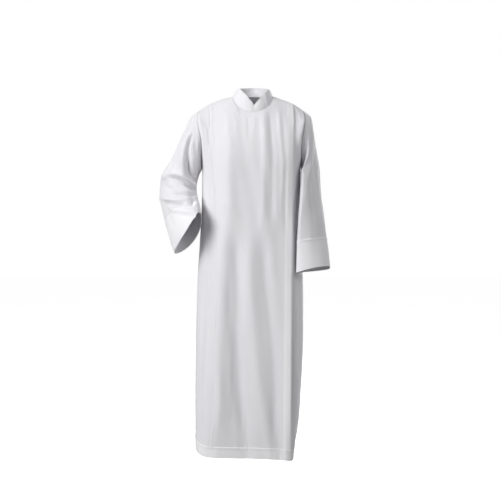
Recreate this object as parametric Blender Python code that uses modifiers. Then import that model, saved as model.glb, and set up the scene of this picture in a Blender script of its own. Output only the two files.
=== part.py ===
# A front-wrap alb, standing as it is worn, hollow and open at neck, cuffs, hem and side slit.
# Metres, +Z up. +X is the wearer's left and the front faces -Y. The origin lies between the neck points.

from collections import namedtuple
import math

import bpy
import numpy as np

# Driving sizes
WALL = 0.0020            # cloth wall
HEM_WALL = 0.0027        # wall where the cloth is turned up double
SEAM_DRAW = 0.00030      # how far each edge keeps back from a flat seam
RIDGE_DRAW = 0.00075     # the same where the two pieces meet at an angle
LAP = 0.0033             # how far the front panel's middle lies outside the under front's
LIFT_FROM_TO = (0.010, 0.088)  # the stretch over which the front panel rises to lie on the under front
LIFTED_DRAW = 0.0022     # its neckline keeps this much lower where it is lifted
NECK_DRAW = 0.0017       # how far the neckline keeps out from the collar
NECK_X = 0.006           # middle of the neck ring
NECK_HALF = 0.078        # half the width of the neckline
NECK_FRONT = 0.075       # neckline depth to the front
NECK_BACK = 0.066        # neckline depth to the back
NECK_DROP = 0.069        # how far the front neckline dips
NECK_RISE = 0.010        # how far the back neckline rises
TIP_X = 0.207            # shoulder tip
TIP_Y = 0.012
CHEST_Z = -0.290         # armpit level
HEM_Z = -1.408
HEM_DEPTH = 0.042        # turned-up hem
HEM_STEP = 0.003         # the length over which the cloth becomes double
HEM_SIDE_LIFT = 0.022    # the hem rides up at the sides
HEM_REACH = 0.500        # the height over which that lift grows
HEM_TILT = 0.004         # and hangs lower on the wearer's left
FLAP_DROP = 0.014        # the front panel's top edge ends this much below the shoulder ridge
FLAP_FROM_TO = (0.084, 0.125)   # the stretch over which that edge leaves the ridge
MOST_DROP = 0.8          # and it never drops by more than this share of its first row
SLIT_TOP = -0.470        # the slit in the wearer's right side seam, for reaching a trouser pocket
SLIT_BOTTOM = -0.630
SLIT_OPEN = 0.012        # its front edge swings in by this much
SLIT_FORWARD = 0.8       # and forward by this share of it
CUFF_HEM = 0.120         # turned-up cuff hem
SLEEVE_OUT = 0.0014      # a sleeve's first ring lies this far outside the armhole
PIT_OUT = 0.0022         # and this much more at the armpit, where both walls hang side by side

EDGE_POWER = 8           # the armhole's forward bow dies out this quickly from the edge
CORNER_POWER = 12        # and the hem's side lift from the corner
BELL_FALL = 1.4          # how quickly a fold falls away from its line
FOLD_START = 0.14        # the length over which a body fold grows from nothing
SIDE_CALM = (0.255, 0.215)  # folds fade between these distances from a panel's middle
DENSE = 481              # points along a section before it is divided into columns
UPPER_STEPS = 12         # rows from the shoulder to the armpit
ROW_CURVE = 1.35         # these rows lie closer together near the shoulder
ROW_HEIGHT = 0.060       # rows below the armpit

# A level section: half is half its width, front and back its depths, shift its sideways lean.
Section = namedtuple("Section", "z half front back front_square back_square shift")
SECTIONS = [
    Section(-0.290, half=0.195, front=0.138, back=0.148, front_square=2.4, back_square=2.4, shift=0.000),
    Section(-0.450, half=0.196, front=0.144, back=0.152, front_square=2.4, back_square=2.4, shift=-0.002),
    Section(-0.600, half=0.203, front=0.152, back=0.160, front_square=2.5, back_square=2.5, shift=-0.004),
    Section(-0.720, half=0.208, front=0.159, back=0.167, front_square=2.6, back_square=2.6, shift=-0.005),
    Section(-0.950, half=0.212, front=0.170, back=0.177, front_square=3.3, back_square=2.8, shift=-0.008),
    Section(-1.200, half=0.207, front=0.181, back=0.188, front_square=4.4, back_square=3.0, shift=-0.015),
    Section(-1.430, half=0.196, front=0.190, back=0.197, front_square=5.4, back_square=3.1, shift=-0.023),
]

Shoulder = namedtuple("Shoulder", "out z")           # the shoulder seam's height, out from the middle
SHOULDER = [
    Shoulder(out=0.070, z=0.002),
    Shoulder(out=0.114, z=-0.008),
    Shoulder(out=0.160, z=-0.024),
    Shoulder(out=0.190, z=-0.041),
    Shoulder(out=0.207, z=-0.054),
]

Armhole = namedtuple("Armhole", "down out forward")  # down: 0 at the shoulder tip, 1 at the armpit
ARMHOLE = [
    Armhole(down=0.00, out=0.207, forward=0.000),
    Armhole(down=0.15, out=0.210, forward=0.030),
    Armhole(down=0.30, out=0.212, forward=0.052),
    Armhole(down=0.45, out=0.206, forward=0.062),
    Armhole(down=0.60, out=0.198, forward=0.062),
    Armhole(down=0.80, out=0.195, forward=0.040),
    Armhole(down=1.00, out=0.195, forward=0.000),
]

Edge = namedtuple("Edge", "z pleat closing")         # the front panel's two long edges
EDGES = [
    Edge(z=-0.050, pleat=-0.168, closing=0.167),
    Edge(z=-0.190, pleat=-0.160, closing=0.165),
    Edge(z=-0.310, pleat=-0.148, closing=0.161),
    Edge(z=-0.450, pleat=-0.139, closing=0.158),
    Edge(z=-0.610, pleat=-0.133, closing=0.157),
    Edge(z=-0.980, pleat=-0.140, closing=0.153),
    Edge(z=-1.270, pleat=-0.155, closing=0.151),
    Edge(z=-1.420, pleat=-0.162, closing=0.152),
]
UNDER_EDGE_X = 0.092     # inner edge of the under front, below the front panel

# Columns of each stretch of the panels. Neighbours that lie on each other share them.
SIDE_COLUMNS = 6         # armhole or side seam to the pleat edge
PLEAT_COLUMNS = 5        # pleat edge to the neck
NECK_COLUMNS = 11        # across the neckline
UNDER_COLUMNS = 1        # from there to the under front's edge
LAP_COLUMNS = 4          # from that edge to the closing edge
UNDER_SIDE_COLUMNS = 5   # closing edge to the side seam
BACK_COLUMNS = 8         # each third of the back

# A fold runs down a panel through (across, z) points. Depth is outward, so a trough is negative.
Fold = namedtuple("Fold", "across z width depth")
FRONT_FOLDS = [
    Fold(across=(-0.158, -0.158, -0.170, -0.175), z=(-0.55, -0.80, -1.19, -1.80), width=0.022, depth=0.004),
    Fold(across=(-0.100, -0.102, -0.112, -0.106, -0.120), z=(-0.46, -0.64, -1.00, -1.19, -1.80),
         width=0.026, depth=0.009),
    Fold(across=(-0.054, -0.052, -0.043, -0.026, -0.002, 0.006), z=(-0.52, -0.64, -1.00, -1.19, -1.32, -1.80),
         width=0.024, depth=-0.011),
    Fold(across=(-0.006, -0.004, 0.022, 0.047, 0.074, 0.084), z=(-0.50, -0.64, -1.00, -1.19, -1.32, -1.80),
         width=0.023, depth=0.008),
    Fold(across=(0.050, 0.056, 0.091, 0.109, 0.118), z=(-0.52, -0.64, -1.00, -1.19, -1.80),
         width=0.021, depth=-0.009),
    Fold(across=(0.158, 0.163, 0.166), z=(-0.50, -1.00, -1.80), width=0.032, depth=0.013),
    Fold(across=(0.150, 0.160), z=(-0.02, -0.66), width=0.040, depth=0.010),
    Fold(across=(-0.080, -0.076), z=(-0.09, -0.58), width=0.030, depth=0.006),
    Fold(across=(0.050, 0.046), z=(-0.03, -0.56), width=0.014, depth=0.003),
    Fold(across=(0.084, 0.080), z=(-0.03, -0.56), width=0.017, depth=-0.005),
    Fold(across=(-0.014, -0.010), z=(-0.06, -0.21), width=0.010, depth=-0.003),
    Fold(across=(-0.108, -0.102), z=(-0.04, -0.22), width=0.014, depth=0.003),
]
BACK_FOLDS = [
    Fold(across=(-0.020, -0.030, -0.045), z=(-0.16, -0.70, -1.80), width=0.024, depth=-0.011),
    Fold(across=(0.045, 0.040, 0.030), z=(-0.34, -0.80, -1.80), width=0.026, depth=0.010),
    Fold(across=(-0.095, -0.105, -0.120), z=(-0.46, -0.90, -1.80), width=0.022, depth=0.011),
    Fold(across=(0.105, 0.110, 0.105), z=(-0.24, -0.80, -1.80), width=0.022, depth=-0.012),
    Fold(across=(-0.165, -0.170), z=(-0.70, -1.80), width=0.020, depth=-0.008),
    Fold(across=(0.160, 0.172), z=(-0.60, -1.80), width=0.020, depth=0.008),
]

# Each ring of a sleeve: a point on its outer side, one on its inner side, the reach from middle to front,
# and the bow by which its front and back both leave the middle.
Ring = namedtuple("Ring", "outer inner reach bow", defaults=((0.0, 0.0, 0.0),))
LEFT_RINGS = [
    Ring(outer=(0.240, 0.010, -0.086), inner=(0.2010, 0.000, -0.294), reach=(0.000, -0.070, 0.000)),
    Ring(outer=(0.247, 0.008, -0.128), inner=(0.2025, -0.001, -0.298), reach=(-0.004, -0.077, 0.000)),
    Ring(outer=(0.255, 0.005, -0.185), inner=(0.2035, -0.003, -0.305), reach=(-0.014, -0.081, 0.000)),
    Ring(outer=(0.262, -0.002, -0.250), inner=(0.2030, -0.009, -0.320), reach=(-0.027, -0.085, 0.000)),
    Ring(outer=(0.264, -0.014, -0.320), inner=(0.2025, -0.018, -0.352), reach=(-0.030, -0.087, -0.001)),
    Ring(outer=(0.267, -0.034, -0.388), inner=(0.2050, -0.027, -0.402), reach=(-0.037, -0.086, -0.001)),
    Ring(outer=(0.269, -0.053, -0.452), inner=(0.2065, -0.037, -0.464), reach=(-0.046, -0.080, -0.001)),
    Ring(outer=(0.274, -0.076, -0.533), inner=(0.2065, -0.048, -0.547), reach=(-0.054, -0.073, -0.002)),
    Ring(outer=(0.279, -0.100, -0.611), inner=(0.2065, -0.060, -0.631), reach=(-0.060, -0.064, -0.003),
         bow=(0.000, 0.000, -0.002)),
    Ring(outer=(0.280, -0.119, -0.675), inner=(0.2060, -0.071, -0.699), reach=(-0.063, -0.058, -0.004),
         bow=(0.000, 0.000, -0.005)),
]
RIGHT_RINGS = [
    Ring(outer=(-0.247, 0.010, -0.088), inner=(-0.2015, 0.000, -0.294), reach=(0.000, -0.070, 0.000)),
    Ring(outer=(-0.263, 0.010, -0.124), inner=(-0.2040, 0.000, -0.298), reach=(0.000, -0.077, 0.000)),
    Ring(outer=(-0.283, 0.012, -0.168), inner=(-0.2075, 0.000, -0.304), reach=(0.000, -0.081, 0.001)),
    Ring(outer=(-0.304, 0.018, -0.216), inner=(-0.2115, -0.001, -0.314), reach=(0.000, -0.083, 0.003)),
    Ring(outer=(-0.330, 0.030, -0.264), inner=(-0.2150, -0.005, -0.328), reach=(0.000, -0.085, 0.005)),
    Ring(outer=(-0.363, 0.046, -0.312), inner=(-0.2180, -0.012, -0.345), reach=(-0.002, -0.086, 0.008)),
    Ring(outer=(-0.371, 0.052, -0.362), inner=(-0.2190, -0.022, -0.362), reach=(-0.004, -0.086, 0.010)),
    Ring(outer=(-0.368, 0.044, -0.412), inner=(-0.2180, -0.036, -0.379), reach=(-0.008, -0.085, 0.011)),
    Ring(outer=(-0.355, 0.024, -0.462), inner=(-0.2150, -0.056, -0.396), reach=(-0.013, -0.082, 0.011)),
    Ring(outer=(-0.340, 0.000, -0.510), inner=(-0.2110, -0.078, -0.413), reach=(-0.017, -0.078, 0.011)),
    Ring(outer=(-0.325, -0.026, -0.556), inner=(-0.2060, -0.102, -0.431), reach=(-0.018, -0.074, 0.010),
         bow=(0.004, 0.000, -0.002)),
    Ring(outer=(-0.311, -0.050, -0.598), inner=(-0.2020, -0.126, -0.450), reach=(-0.018, -0.070, 0.009),
         bow=(0.009, 0.000, -0.004)),
    Ring(outer=(-0.300, -0.070, -0.625), inner=(-0.2000, -0.148, -0.468), reach=(-0.017, -0.066, 0.009),
         bow=(0.014, 0.000, -0.006)),
]

# A sleeve fold runs through (along, around) points: along is 0 at the armhole and 1 at the cuff,
# around is in degrees, 0 on the outer side, 90 at the front and 180 on the inner side.
SleeveFold = namedtuple("SleeveFold", "along around width depth")
LEFT_SLEEVE_FOLDS = [
    SleeveFold(along=(0.10, 0.24, 0.42, 0.52), around=(52, 72, 92, 104), width=0.016, depth=-0.004),
    SleeveFold(along=(0.30, 0.60, 1.00), around=(34, 42, 46), width=0.020, depth=0.002),
    SleeveFold(along=(0.40, 0.70, 1.00), around=(-40, -50, -56), width=0.022, depth=-0.010),
    SleeveFold(along=(0.20, 0.55, 0.95), around=(-95, -110, -118), width=0.020, depth=0.009),
]
RIGHT_SLEEVE_FOLDS = [
    SleeveFold(along=(0.10, 0.30, 0.42), around=(30, 34, 60), width=0.012, depth=-0.008),
    SleeveFold(along=(0.12, 0.30, 0.42), around=(58, 84, 110), width=0.012, depth=0.007),
    SleeveFold(along=(0.16, 0.34, 0.46), around=(90, 118, 150), width=0.012, depth=-0.009),
    SleeveFold(along=(0.43, 0.46, 0.50), around=(12, 66, 118), width=0.012, depth=0.008),
    SleeveFold(along=(0.485, 0.52, 0.56), around=(24, 78, 140), width=0.011, depth=-0.012),
    SleeveFold(along=(0.58, 0.58, 0.58), around=(10, 60, 120), width=0.013, depth=0.008),
    SleeveFold(along=(0.65, 0.645, 0.63), around=(38, 84, 130), width=0.011, depth=-0.010),
    SleeveFold(along=(0.50, 0.55, 0.60), around=(-20, -70, -130), width=0.016, depth=-0.011),
    SleeveFold(along=(0.62, 0.68, 0.74), around=(-16, -70, -130), width=0.016, depth=0.008),
    SleeveFold(along=(0.16, 0.32, 0.44), around=(-40, -74, -110), width=0.016, depth=-0.009),
]
SLEEVE_COLUMNS = 2 * UPPER_STEPS    # one for each row of the armhole
LEFT_SLEEVE_ROWS = 20
RIGHT_SLEEVE_ROWS = 30
CUFF_ROWS = 4            # rows of the turned-up cuff hem
CUFF_STEP = 0.006        # share of the sleeve over which the cloth becomes double
HEAD_CALM = 0.08         # folds start after this share of the sleeve
FOLD_STEPS = 25          # places along a sleeve fold
FOLD_END = 0.12          # a sleeve fold starts and ends at this share of half a turn

# Collar
COLLAR_TOP_HALF = 0.063  # half the width of the top edge
COLLAR_TOP_Y = 0.068     # depth of the top edge, to front and back
COLLAR_SIDE_Z = 0.030    # top edge at the sides
COLLAR_BACK_Z = 0.046    # top edge at the back
COLLAR_V_Z = -0.0425      # lowest point of the shallow V
COLLAR_V_X = 0.005       # the V's point, from the middle of the neck ring
COLLAR_LIFT = 0.0016     # the band's lower edge stands just clear of the neckline
COLLAR_START = 72.0      # degrees from the front to the under end, on the wearer's left
COLLAR_OVERLAP = 3       # columns by which the upper end passes the under one
COLLAR_SPIRAL = 0.0031   # how far the upper end lies outside the under one
COLLAR_BOW = 0.0015      # the band swells a little at mid height
COLLAR_V_CURVE = 1.15    # how much the V's arms sag
COLLAR_ROWS = 4

ROUGHNESS = 0.82
PANEL_WHITE = (0.88, 0.88, 0.89)
SIDE_WHITE = (0.86, 0.86, 0.87)
BACK_WHITE = (0.87, 0.87, 0.88)
SLEEVE_WHITE = (0.85, 0.85, 0.87)
COLLAR_WHITE = (0.89, 0.89, 0.90)


def clear_scene():
    for leftover in list(bpy.data.objects):
        bpy.data.objects.remove(leftover)


def eased(knots, values, at):
    """Smooth curve through the given values, read at any places."""
    knots = np.asarray(knots, float)
    values = np.asarray(values, float)
    slopes = np.gradient(values, knots, axis=0)
    at = np.clip(np.asarray(at, float), knots[0], knots[-1])
    i = np.clip(np.searchsorted(knots, at, side="right") - 1, 0, len(knots) - 2)
    span = knots[i + 1] - knots[i]
    t = (at - knots[i]) / span
    if values.ndim > 1:
        t = t[..., None]
        span = span[..., None]
    start = (2 * t**3 - 3 * t**2 + 1) * values[i] + (t**3 - 2 * t**2 + t) * span * slopes[i]
    end = (-2 * t**3 + 3 * t**2) * values[i + 1] + (t**3 - t**2) * span * slopes[i + 1]
    return start + end


def column(table, name):
    return [getattr(row, name) for row in table]


def down_table(table, name, z):
    """A column of a table whose z runs downward, read at height z."""
    return eased([-row.z for row in table], column(table, name), -np.asarray(z, float))


def smoothstep(low, high, value):
    t = np.clip((value - low) / (high - low), 0, 1)
    return t * t * (3 - 2 * t)


def bell(distance):
    """Height of a fold, 1 on its line and about a quarter one fold width away."""
    return np.exp(-BELL_FALL * distance**2)


def superellipse(squareness):
    """Unit half section from the wearer's right (-1, 0) through the middle (0, 1) to the left (1, 0)."""
    turn = np.linspace(-math.pi / 2, math.pi / 2, DENSE)
    across = np.sign(np.sin(turn)) * np.abs(np.sin(turn)) ** (2 / squareness)
    deep = np.abs(np.cos(turn)) ** (2 / squareness)
    return across, deep


def shoulder_line(x):
    """Height and depth of the top edge's shoulder stretch at x."""
    out = np.abs(x)
    z = eased(column(SHOULDER, "out"), column(SHOULDER, "z"), out)
    y = TIP_Y * np.clip((out - NECK_HALF) / (TIP_X - NECK_HALF), 0, 1)
    return y, z


def top_edge(x, face):
    """The panel's upper edge at x: neckline in the middle, shoulder seam outside it."""
    y, z = shoulder_line(x)
    side = np.clip((x - NECK_X) / NECK_HALF, -1, 1)
    dip = np.sqrt(1 - side**2)
    on_neck = np.abs(x - NECK_X) < NECK_HALF
    end_y, end_z = shoulder_line(NECK_X + NECK_HALF * np.sign(x - NECK_X))
    if face < 0:
        neck_y = end_y - NECK_FRONT * dip
        neck_z = end_z - (NECK_DROP + end_z) * dip
    else:
        neck_y = end_y + NECK_BACK * dip
        neck_z = end_z + (NECK_RISE - end_z) * dip
    return np.where(on_neck, neck_y, y), np.where(on_neck, neck_z, z)


def half_body(face, folds):
    """Dense grid of one half of the body, front (face -1) or back (face 1), row by row, with its folds."""
    side = "front" if face < 0 else "back"
    across, deep = superellipse(down_table(SECTIONS, side + "_square", CHEST_Z))
    depth = down_table(SECTIONS, side, CHEST_Z)
    rows = []
    for step in range(UPPER_STEPS):
        down = step / UPPER_STEPS
        out = eased(column(ARMHOLE, "down"), column(ARMHOLE, "out"), down)
        forward = eased(column(ARMHOLE, "down"), column(ARMHOLE, "forward"), down)
        x = across * out
        top_y, top_z = top_edge(x * TIP_X / out, face)
        chest_y = face * depth * deep
        y = top_y + (chest_y - top_y) * math.sin(down * math.pi / 2)
        y = y + face * forward * np.abs(across) ** EDGE_POWER
        z = top_z + (CHEST_Z - top_z) * down**ROW_CURVE
        rows.append(np.stack([x, y, z], axis=1))
    hem_line = HEM_Z + HEM_DEPTH
    lower = np.linspace(CHEST_Z, hem_line, round((CHEST_Z - hem_line) / ROW_HEIGHT) + 1)
    levels = list(lower) + [hem_line - HEM_STEP, HEM_Z + HEM_DEPTH / 2, HEM_Z]
    for z in levels:
        across, deep = superellipse(down_table(SECTIONS, side + "_square", z))
        depth = down_table(SECTIONS, side, z)
        x = down_table(SECTIONS, "shift", z) + down_table(SECTIONS, "half", z) * across
        near_hem = smoothstep(HEM_Z + HEM_REACH, HEM_Z, z)
        height = z + near_hem * (HEM_SIDE_LIFT * np.abs(across) ** CORNER_POWER - HEM_TILT * across)
        rows.append(np.stack([x, face * depth * deep, height + 0 * x], axis=1))
    grid = np.array(rows)
    length = np.array([lengths(row) for row in grid])
    across = length - length[:, DENSE // 2][:, None]
    return grid + normals(grid, -face) * fold_height(folds, across, grid[:, :, 2])[:, :, None]


def normals(grid, sign):
    along_row = np.gradient(grid, axis=1)
    down_rows = np.gradient(grid, axis=0)
    normal = sign * np.cross(down_rows, along_row)
    return normal / np.maximum(np.linalg.norm(normal, axis=2, keepdims=True), 1e-12)


def fold_height(folds, across, z):
    height = np.zeros_like(across)
    for fold in folds:
        line = np.interp(-z, [-level for level in fold.z], fold.across)
        grow = smoothstep(fold.z[0], fold.z[0] - FOLD_START, z)
        end = smoothstep(fold.z[-1], fold.z[-1] + FOLD_START, z)
        height += fold.depth * bell((across - line) / fold.width) * grow * end
    return height * smoothstep(*SIDE_CALM, np.abs(across))


def lengths(points):
    """Distance of each point from the first, along the line through them."""
    return np.concatenate([[0], np.cumsum(np.linalg.norm(np.diff(points, axis=0), axis=1))])


def cut_panel(grid, stops, counts):
    """Reads a panel from a dense grid: in each row, the stretch between two stops is divided evenly."""
    panel = []
    for row, points in enumerate(grid):
        length = lengths(points)
        places = []
        for low, high, count in zip(stops[row][:-1], stops[row][1:], counts):
            places += list(np.linspace(low, high, count, endpoint=False))
        places.append(stops[row][-1])
        read = [np.interp(np.array(places), length, points[:, axis]) for axis in range(3)]
        panel.append(np.stack(read, axis=1))
    return np.array(panel)


def length_at_x(points, x):
    return float(np.interp(x, np.maximum.accumulate(points[:, 0]), lengths(points)))


def draw_in(panel, **edges):
    """Moves the named edges of a panel back from their seam, along the cloth."""
    panel = panel.copy()
    slices = {
        "top": ((0, slice(None)), (1, slice(None))),
        "bottom": ((-1, slice(None)), (-2, slice(None))),
        "right": ((slice(None), 0), (slice(None), 1)),
        "left": ((slice(None), -1), (slice(None), -2)),
    }
    for name, distance in edges.items():
        edge, inner = slices[name]
        toward = panel[inner] - panel[edge]
        panel[edge] += toward / np.linalg.norm(toward, axis=-1, keepdims=True) * distance
    return panel


def widen_neckline(panel, first, last, distance):
    """Moves the neckline points of a panel's top row away from the neck, clear of the collar."""
    points = panel[0, first : last + 1]
    away = points[:, :2] - np.array([NECK_X, 0])
    away = away / np.array([NECK_HALF, NECK_FRONT])
    away = away / np.linalg.norm(away, axis=1, keepdims=True)
    points[:, :2] += away * np.reshape(distance, (-1, 1))


def slit(z):
    """How far the side slit stands open at height z."""
    t = np.clip((SLIT_TOP - z) / (SLIT_TOP - SLIT_BOTTOM), 0, 1)
    return SLIT_OPEN * np.sin(math.pi * t)


def open_slit(panel):
    """Bends the right side front's long edge inward and forward, away from the side seam, along the slit."""
    points = panel[:, 0]
    open_by = slit(points[:, 2])
    points[:, 0] += open_by
    points[:, 1] -= SLIT_FORWARD * open_by


def cloth(name, panel, color, doubled=(), ring=False):
    """Makes a wall from a grid of points. Rows in doubled are at the hem's full thickness."""
    rows, columns = panel.shape[:2]
    span = columns if ring else columns - 1
    faces = []
    for r in range(rows - 1):
        for c in range(span):
            after = (c + 1) % columns
            near = r * columns
            far = near + columns
            faces.append((near + c, far + c, far + after, near + after))
    mesh = bpy.data.meshes.new(name)
    mesh.from_pydata([tuple(point) for point in panel.reshape(-1, 3)], [], faces)
    mesh.update()
    piece = bpy.data.objects.new(name, mesh)
    bpy.data.collections["alb"].objects.link(piece)
    mesh.shade_smooth()

    wall = piece.modifiers.new("wall", "SOLIDIFY")
    wall.thickness = WALL
    wall.offset = 0
    wall.use_even_offset = True
    if doubled:
        group = piece.vertex_groups.new(name="turned up hem")
        group.add([r * columns + c for r in doubled for c in range(columns)], 1.0, "REPLACE")
        wall.vertex_group = group.name
        wall.thickness = HEM_WALL
        wall.thickness_vertex_group = WALL / HEM_WALL

    material = bpy.data.materials.new(name + " cloth")
    material.use_nodes = True
    shader = material.node_tree.nodes["Principled BSDF"]
    shader.inputs["Base Color"].default_value = (*color, 1)
    shader.inputs["Roughness"].default_value = ROUGHNESS
    shader.inputs["Metallic"].default_value = 0
    mesh.materials.append(material)
    return piece


def body_panels():
    front = half_body(-1, FRONT_FOLDS)
    back = half_body(1, BACK_FOLDS)
    hem_rows = range(len(front) - 3, len(front))

    side_stops = []
    panel_stops = []
    under_stops = []
    for points in front:
        z = points[DENSE // 2, 2]
        pleat = length_at_x(points, down_table(EDGES, "pleat", z))
        closing = length_at_x(points, down_table(EDGES, "closing", z))
        neck_right = length_at_x(points, NECK_X - NECK_HALF)
        neck_left = length_at_x(points, NECK_X + NECK_HALF)
        under_edge = length_at_x(points, UNDER_EDGE_X)
        side_stops.append((0, pleat))
        panel_stops.append((pleat, neck_right, neck_left, under_edge, closing))
        under_stops.append((under_edge, closing, lengths(points)[-1]))

    side_right = cut_panel(front, side_stops, (SIDE_COLUMNS,))
    side_right = draw_in(side_right, top=RIDGE_DRAW, right=SEAM_DRAW, left=SEAM_DRAW)
    side_right[: UPPER_STEPS + 1] = draw_in(side_right[: UPPER_STEPS + 1], right=RIDGE_DRAW)
    open_slit(side_right)
    cloth("front_side_right", side_right, SIDE_WHITE, hem_rows)

    panel = cut_panel(front, panel_stops, (PLEAT_COLUMNS, NECK_COLUMNS, UNDER_COLUMNS, LAP_COLUMNS))
    neck_end = PLEAT_COLUMNS + NECK_COLUMNS
    neckline = [panel[0, PLEAT_COLUMNS : neck_end + 1].copy()]
    lift = smoothstep(*LIFT_FROM_TO, panel[:, :, 0])
    on_flap = smoothstep(*FLAP_FROM_TO, panel[0, :, 0])
    panel = panel + normals(panel, 1) * (LAP * lift)[:, :, None]
    toward = panel[1] - panel[0]
    step = np.linalg.norm(toward, axis=1, keepdims=True)
    drop = (RIDGE_DRAW + LIFTED_DRAW * lift[0] + FLAP_DROP * on_flap)[:, None]
    panel[0] += toward / step * np.minimum(drop, step * MOST_DROP)
    panel = draw_in(panel, right=SEAM_DRAW)
    neck_lift = lift[0, PLEAT_COLUMNS : neck_end + 1]
    widen_neckline(panel, PLEAT_COLUMNS, neck_end, NECK_DRAW + LIFTED_DRAW * neck_lift)
    cloth("front_panel", panel, PANEL_WHITE, hem_rows)

    under = cut_panel(front, under_stops, (LAP_COLUMNS, UNDER_SIDE_COLUMNS))
    under = draw_in(under, top=RIDGE_DRAW, left=SEAM_DRAW)
    under[: UPPER_STEPS + 1] = draw_in(under[: UPPER_STEPS + 1], left=RIDGE_DRAW)
    cloth("front_side_left", under, SIDE_WHITE, hem_rows)

    back_stops = []
    for points in back:
        neck_right = length_at_x(points, NECK_X - NECK_HALF)
        neck_left = length_at_x(points, NECK_X + NECK_HALF)
        back_stops.append((0, neck_right, neck_left, lengths(points)[-1]))
    behind = cut_panel(back, back_stops, (BACK_COLUMNS, BACK_COLUMNS, BACK_COLUMNS))
    neckline.append(behind[0, BACK_COLUMNS : 2 * BACK_COLUMNS + 1][::-1].copy())
    behind = draw_in(behind, top=RIDGE_DRAW, right=SEAM_DRAW, left=SEAM_DRAW)
    behind[: UPPER_STEPS + 1] = draw_in(behind[: UPPER_STEPS + 1], right=RIDGE_DRAW, left=RIDGE_DRAW)
    widen_neckline(behind, BACK_COLUMNS, 2 * BACK_COLUMNS, NECK_DRAW)
    cloth("back", behind[:, ::-1], BACK_WHITE, hem_rows)
    return front, back, np.concatenate([neckline[0][:-1], neckline[1][:-1]])


def armhole_loop(front, back, side):
    """The armhole of one side, from the shoulder tip down the front to the armpit and up the back."""
    edge = 0 if side < 0 else -1
    down_front = front[: UPPER_STEPS + 1, edge]
    up_back = back[: UPPER_STEPS + 1, edge][::-1]
    return np.concatenate([down_front[:-1], up_back[:-1]])


def sleeve_surface(front, back, side, rings, rows, folds):
    """Loft from the armhole through the rings to the cuff, with its folds."""
    around = np.arange(SLEEVE_COLUMNS) * 2 * math.pi / SLEEVE_COLUMNS
    first = armhole_loop(front, back, side)
    first[:, 0] += side * (SLEEVE_OUT + PIT_OUT * smoothstep(CHEST_Z / 2, CHEST_Z, first[:, 2]))
    sections = [first]
    for ring in rings:
        outer = np.array(ring.outer)
        inner = np.array(ring.inner)
        middle = (outer + inner) / 2
        arm = (outer - inner) / 2
        reach = np.array(ring.reach)
        section = middle + np.cos(around)[:, None] * arm + np.sin(around)[:, None] * reach
        sections.append(section + np.sin(around)[:, None] ** 2 * np.array(ring.bow))
    sections = np.array(sections)
    knots = lengths(sections.mean(axis=1))
    knots /= knots[-1]
    flat = sections.reshape(len(sections), -1)
    along = sleeve_rows(rows, sections)
    surface = eased(knots, flat, along).reshape(len(along), SLEEVE_COLUMNS, 3)

    closed = np.concatenate([surface[:, -1:], surface, surface[:, :1]], axis=1)
    outward = -side * normals(closed, 1)[:, 1:-1]
    height = np.zeros(surface.shape[:2])
    for fold in folds:
        steps = np.linspace(0, 1, FOLD_STEPS)
        knots_at = np.linspace(0, 1, len(fold.along))
        line_along = np.interp(steps, knots_at, fold.along)
        line_around = np.radians(np.interp(steps, knots_at, fold.around))
        near = np.full(surface.shape[:2], np.inf)
        strength = np.zeros(surface.shape[:2])
        for a, turn, t in zip(line_along, line_around, steps):
            ring_points = eased(knots, flat, np.array([a])).reshape(SLEEVE_COLUMNS, 3)
            place = turn / (2 * math.pi) * SLEEVE_COLUMNS
            low = int(math.floor(place)) % SLEEVE_COLUMNS
            part = place - math.floor(place)
            spot = ring_points[low] * (1 - part) + ring_points[(low + 1) % SLEEVE_COLUMNS] * part
            distance = np.linalg.norm(surface - spot, axis=2)
            closer = distance < near
            near = np.where(closer, distance, near)
            strength = np.where(closer, math.sin(math.pi * (FOLD_END + (1 - 2 * FOLD_END) * t)), strength)
        height += fold.depth * bell(near / fold.width) * strength
    quiet_ends = smoothstep(0.0, HEAD_CALM, along)[:, None]
    return surface + outward * (height * quiet_ends)[:, :, None]


def sleeve_rows(rows, sections):
    """Places of the rows along a sleeve, with one on each side of the cuff hem's sewn line."""
    hem = 1 - CUFF_HEM / lengths(sections.mean(axis=1))[-1]
    upper = np.linspace(0, hem, rows - CUFF_ROWS)
    lower = np.linspace(hem + CUFF_STEP, 1, CUFF_ROWS + 1)
    return np.concatenate([upper, lower])


def sleeves(front, back):
    for name, side, rings, rows, folds in (
        ("sleeve_left", 1, LEFT_RINGS, LEFT_SLEEVE_ROWS, LEFT_SLEEVE_FOLDS),
        ("sleeve_right", -1, RIGHT_RINGS, RIGHT_SLEEVE_ROWS, RIGHT_SLEEVE_FOLDS),
    ):
        surface = sleeve_surface(front, back, side, rings, rows, folds)
        if side > 0:
            surface = surface[:, ::-1]
        count = len(surface)
        cuff = range(count - CUFF_ROWS - 1, count)
        cloth(name, surface, SLEEVE_WHITE, cuff, ring=True)


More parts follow.
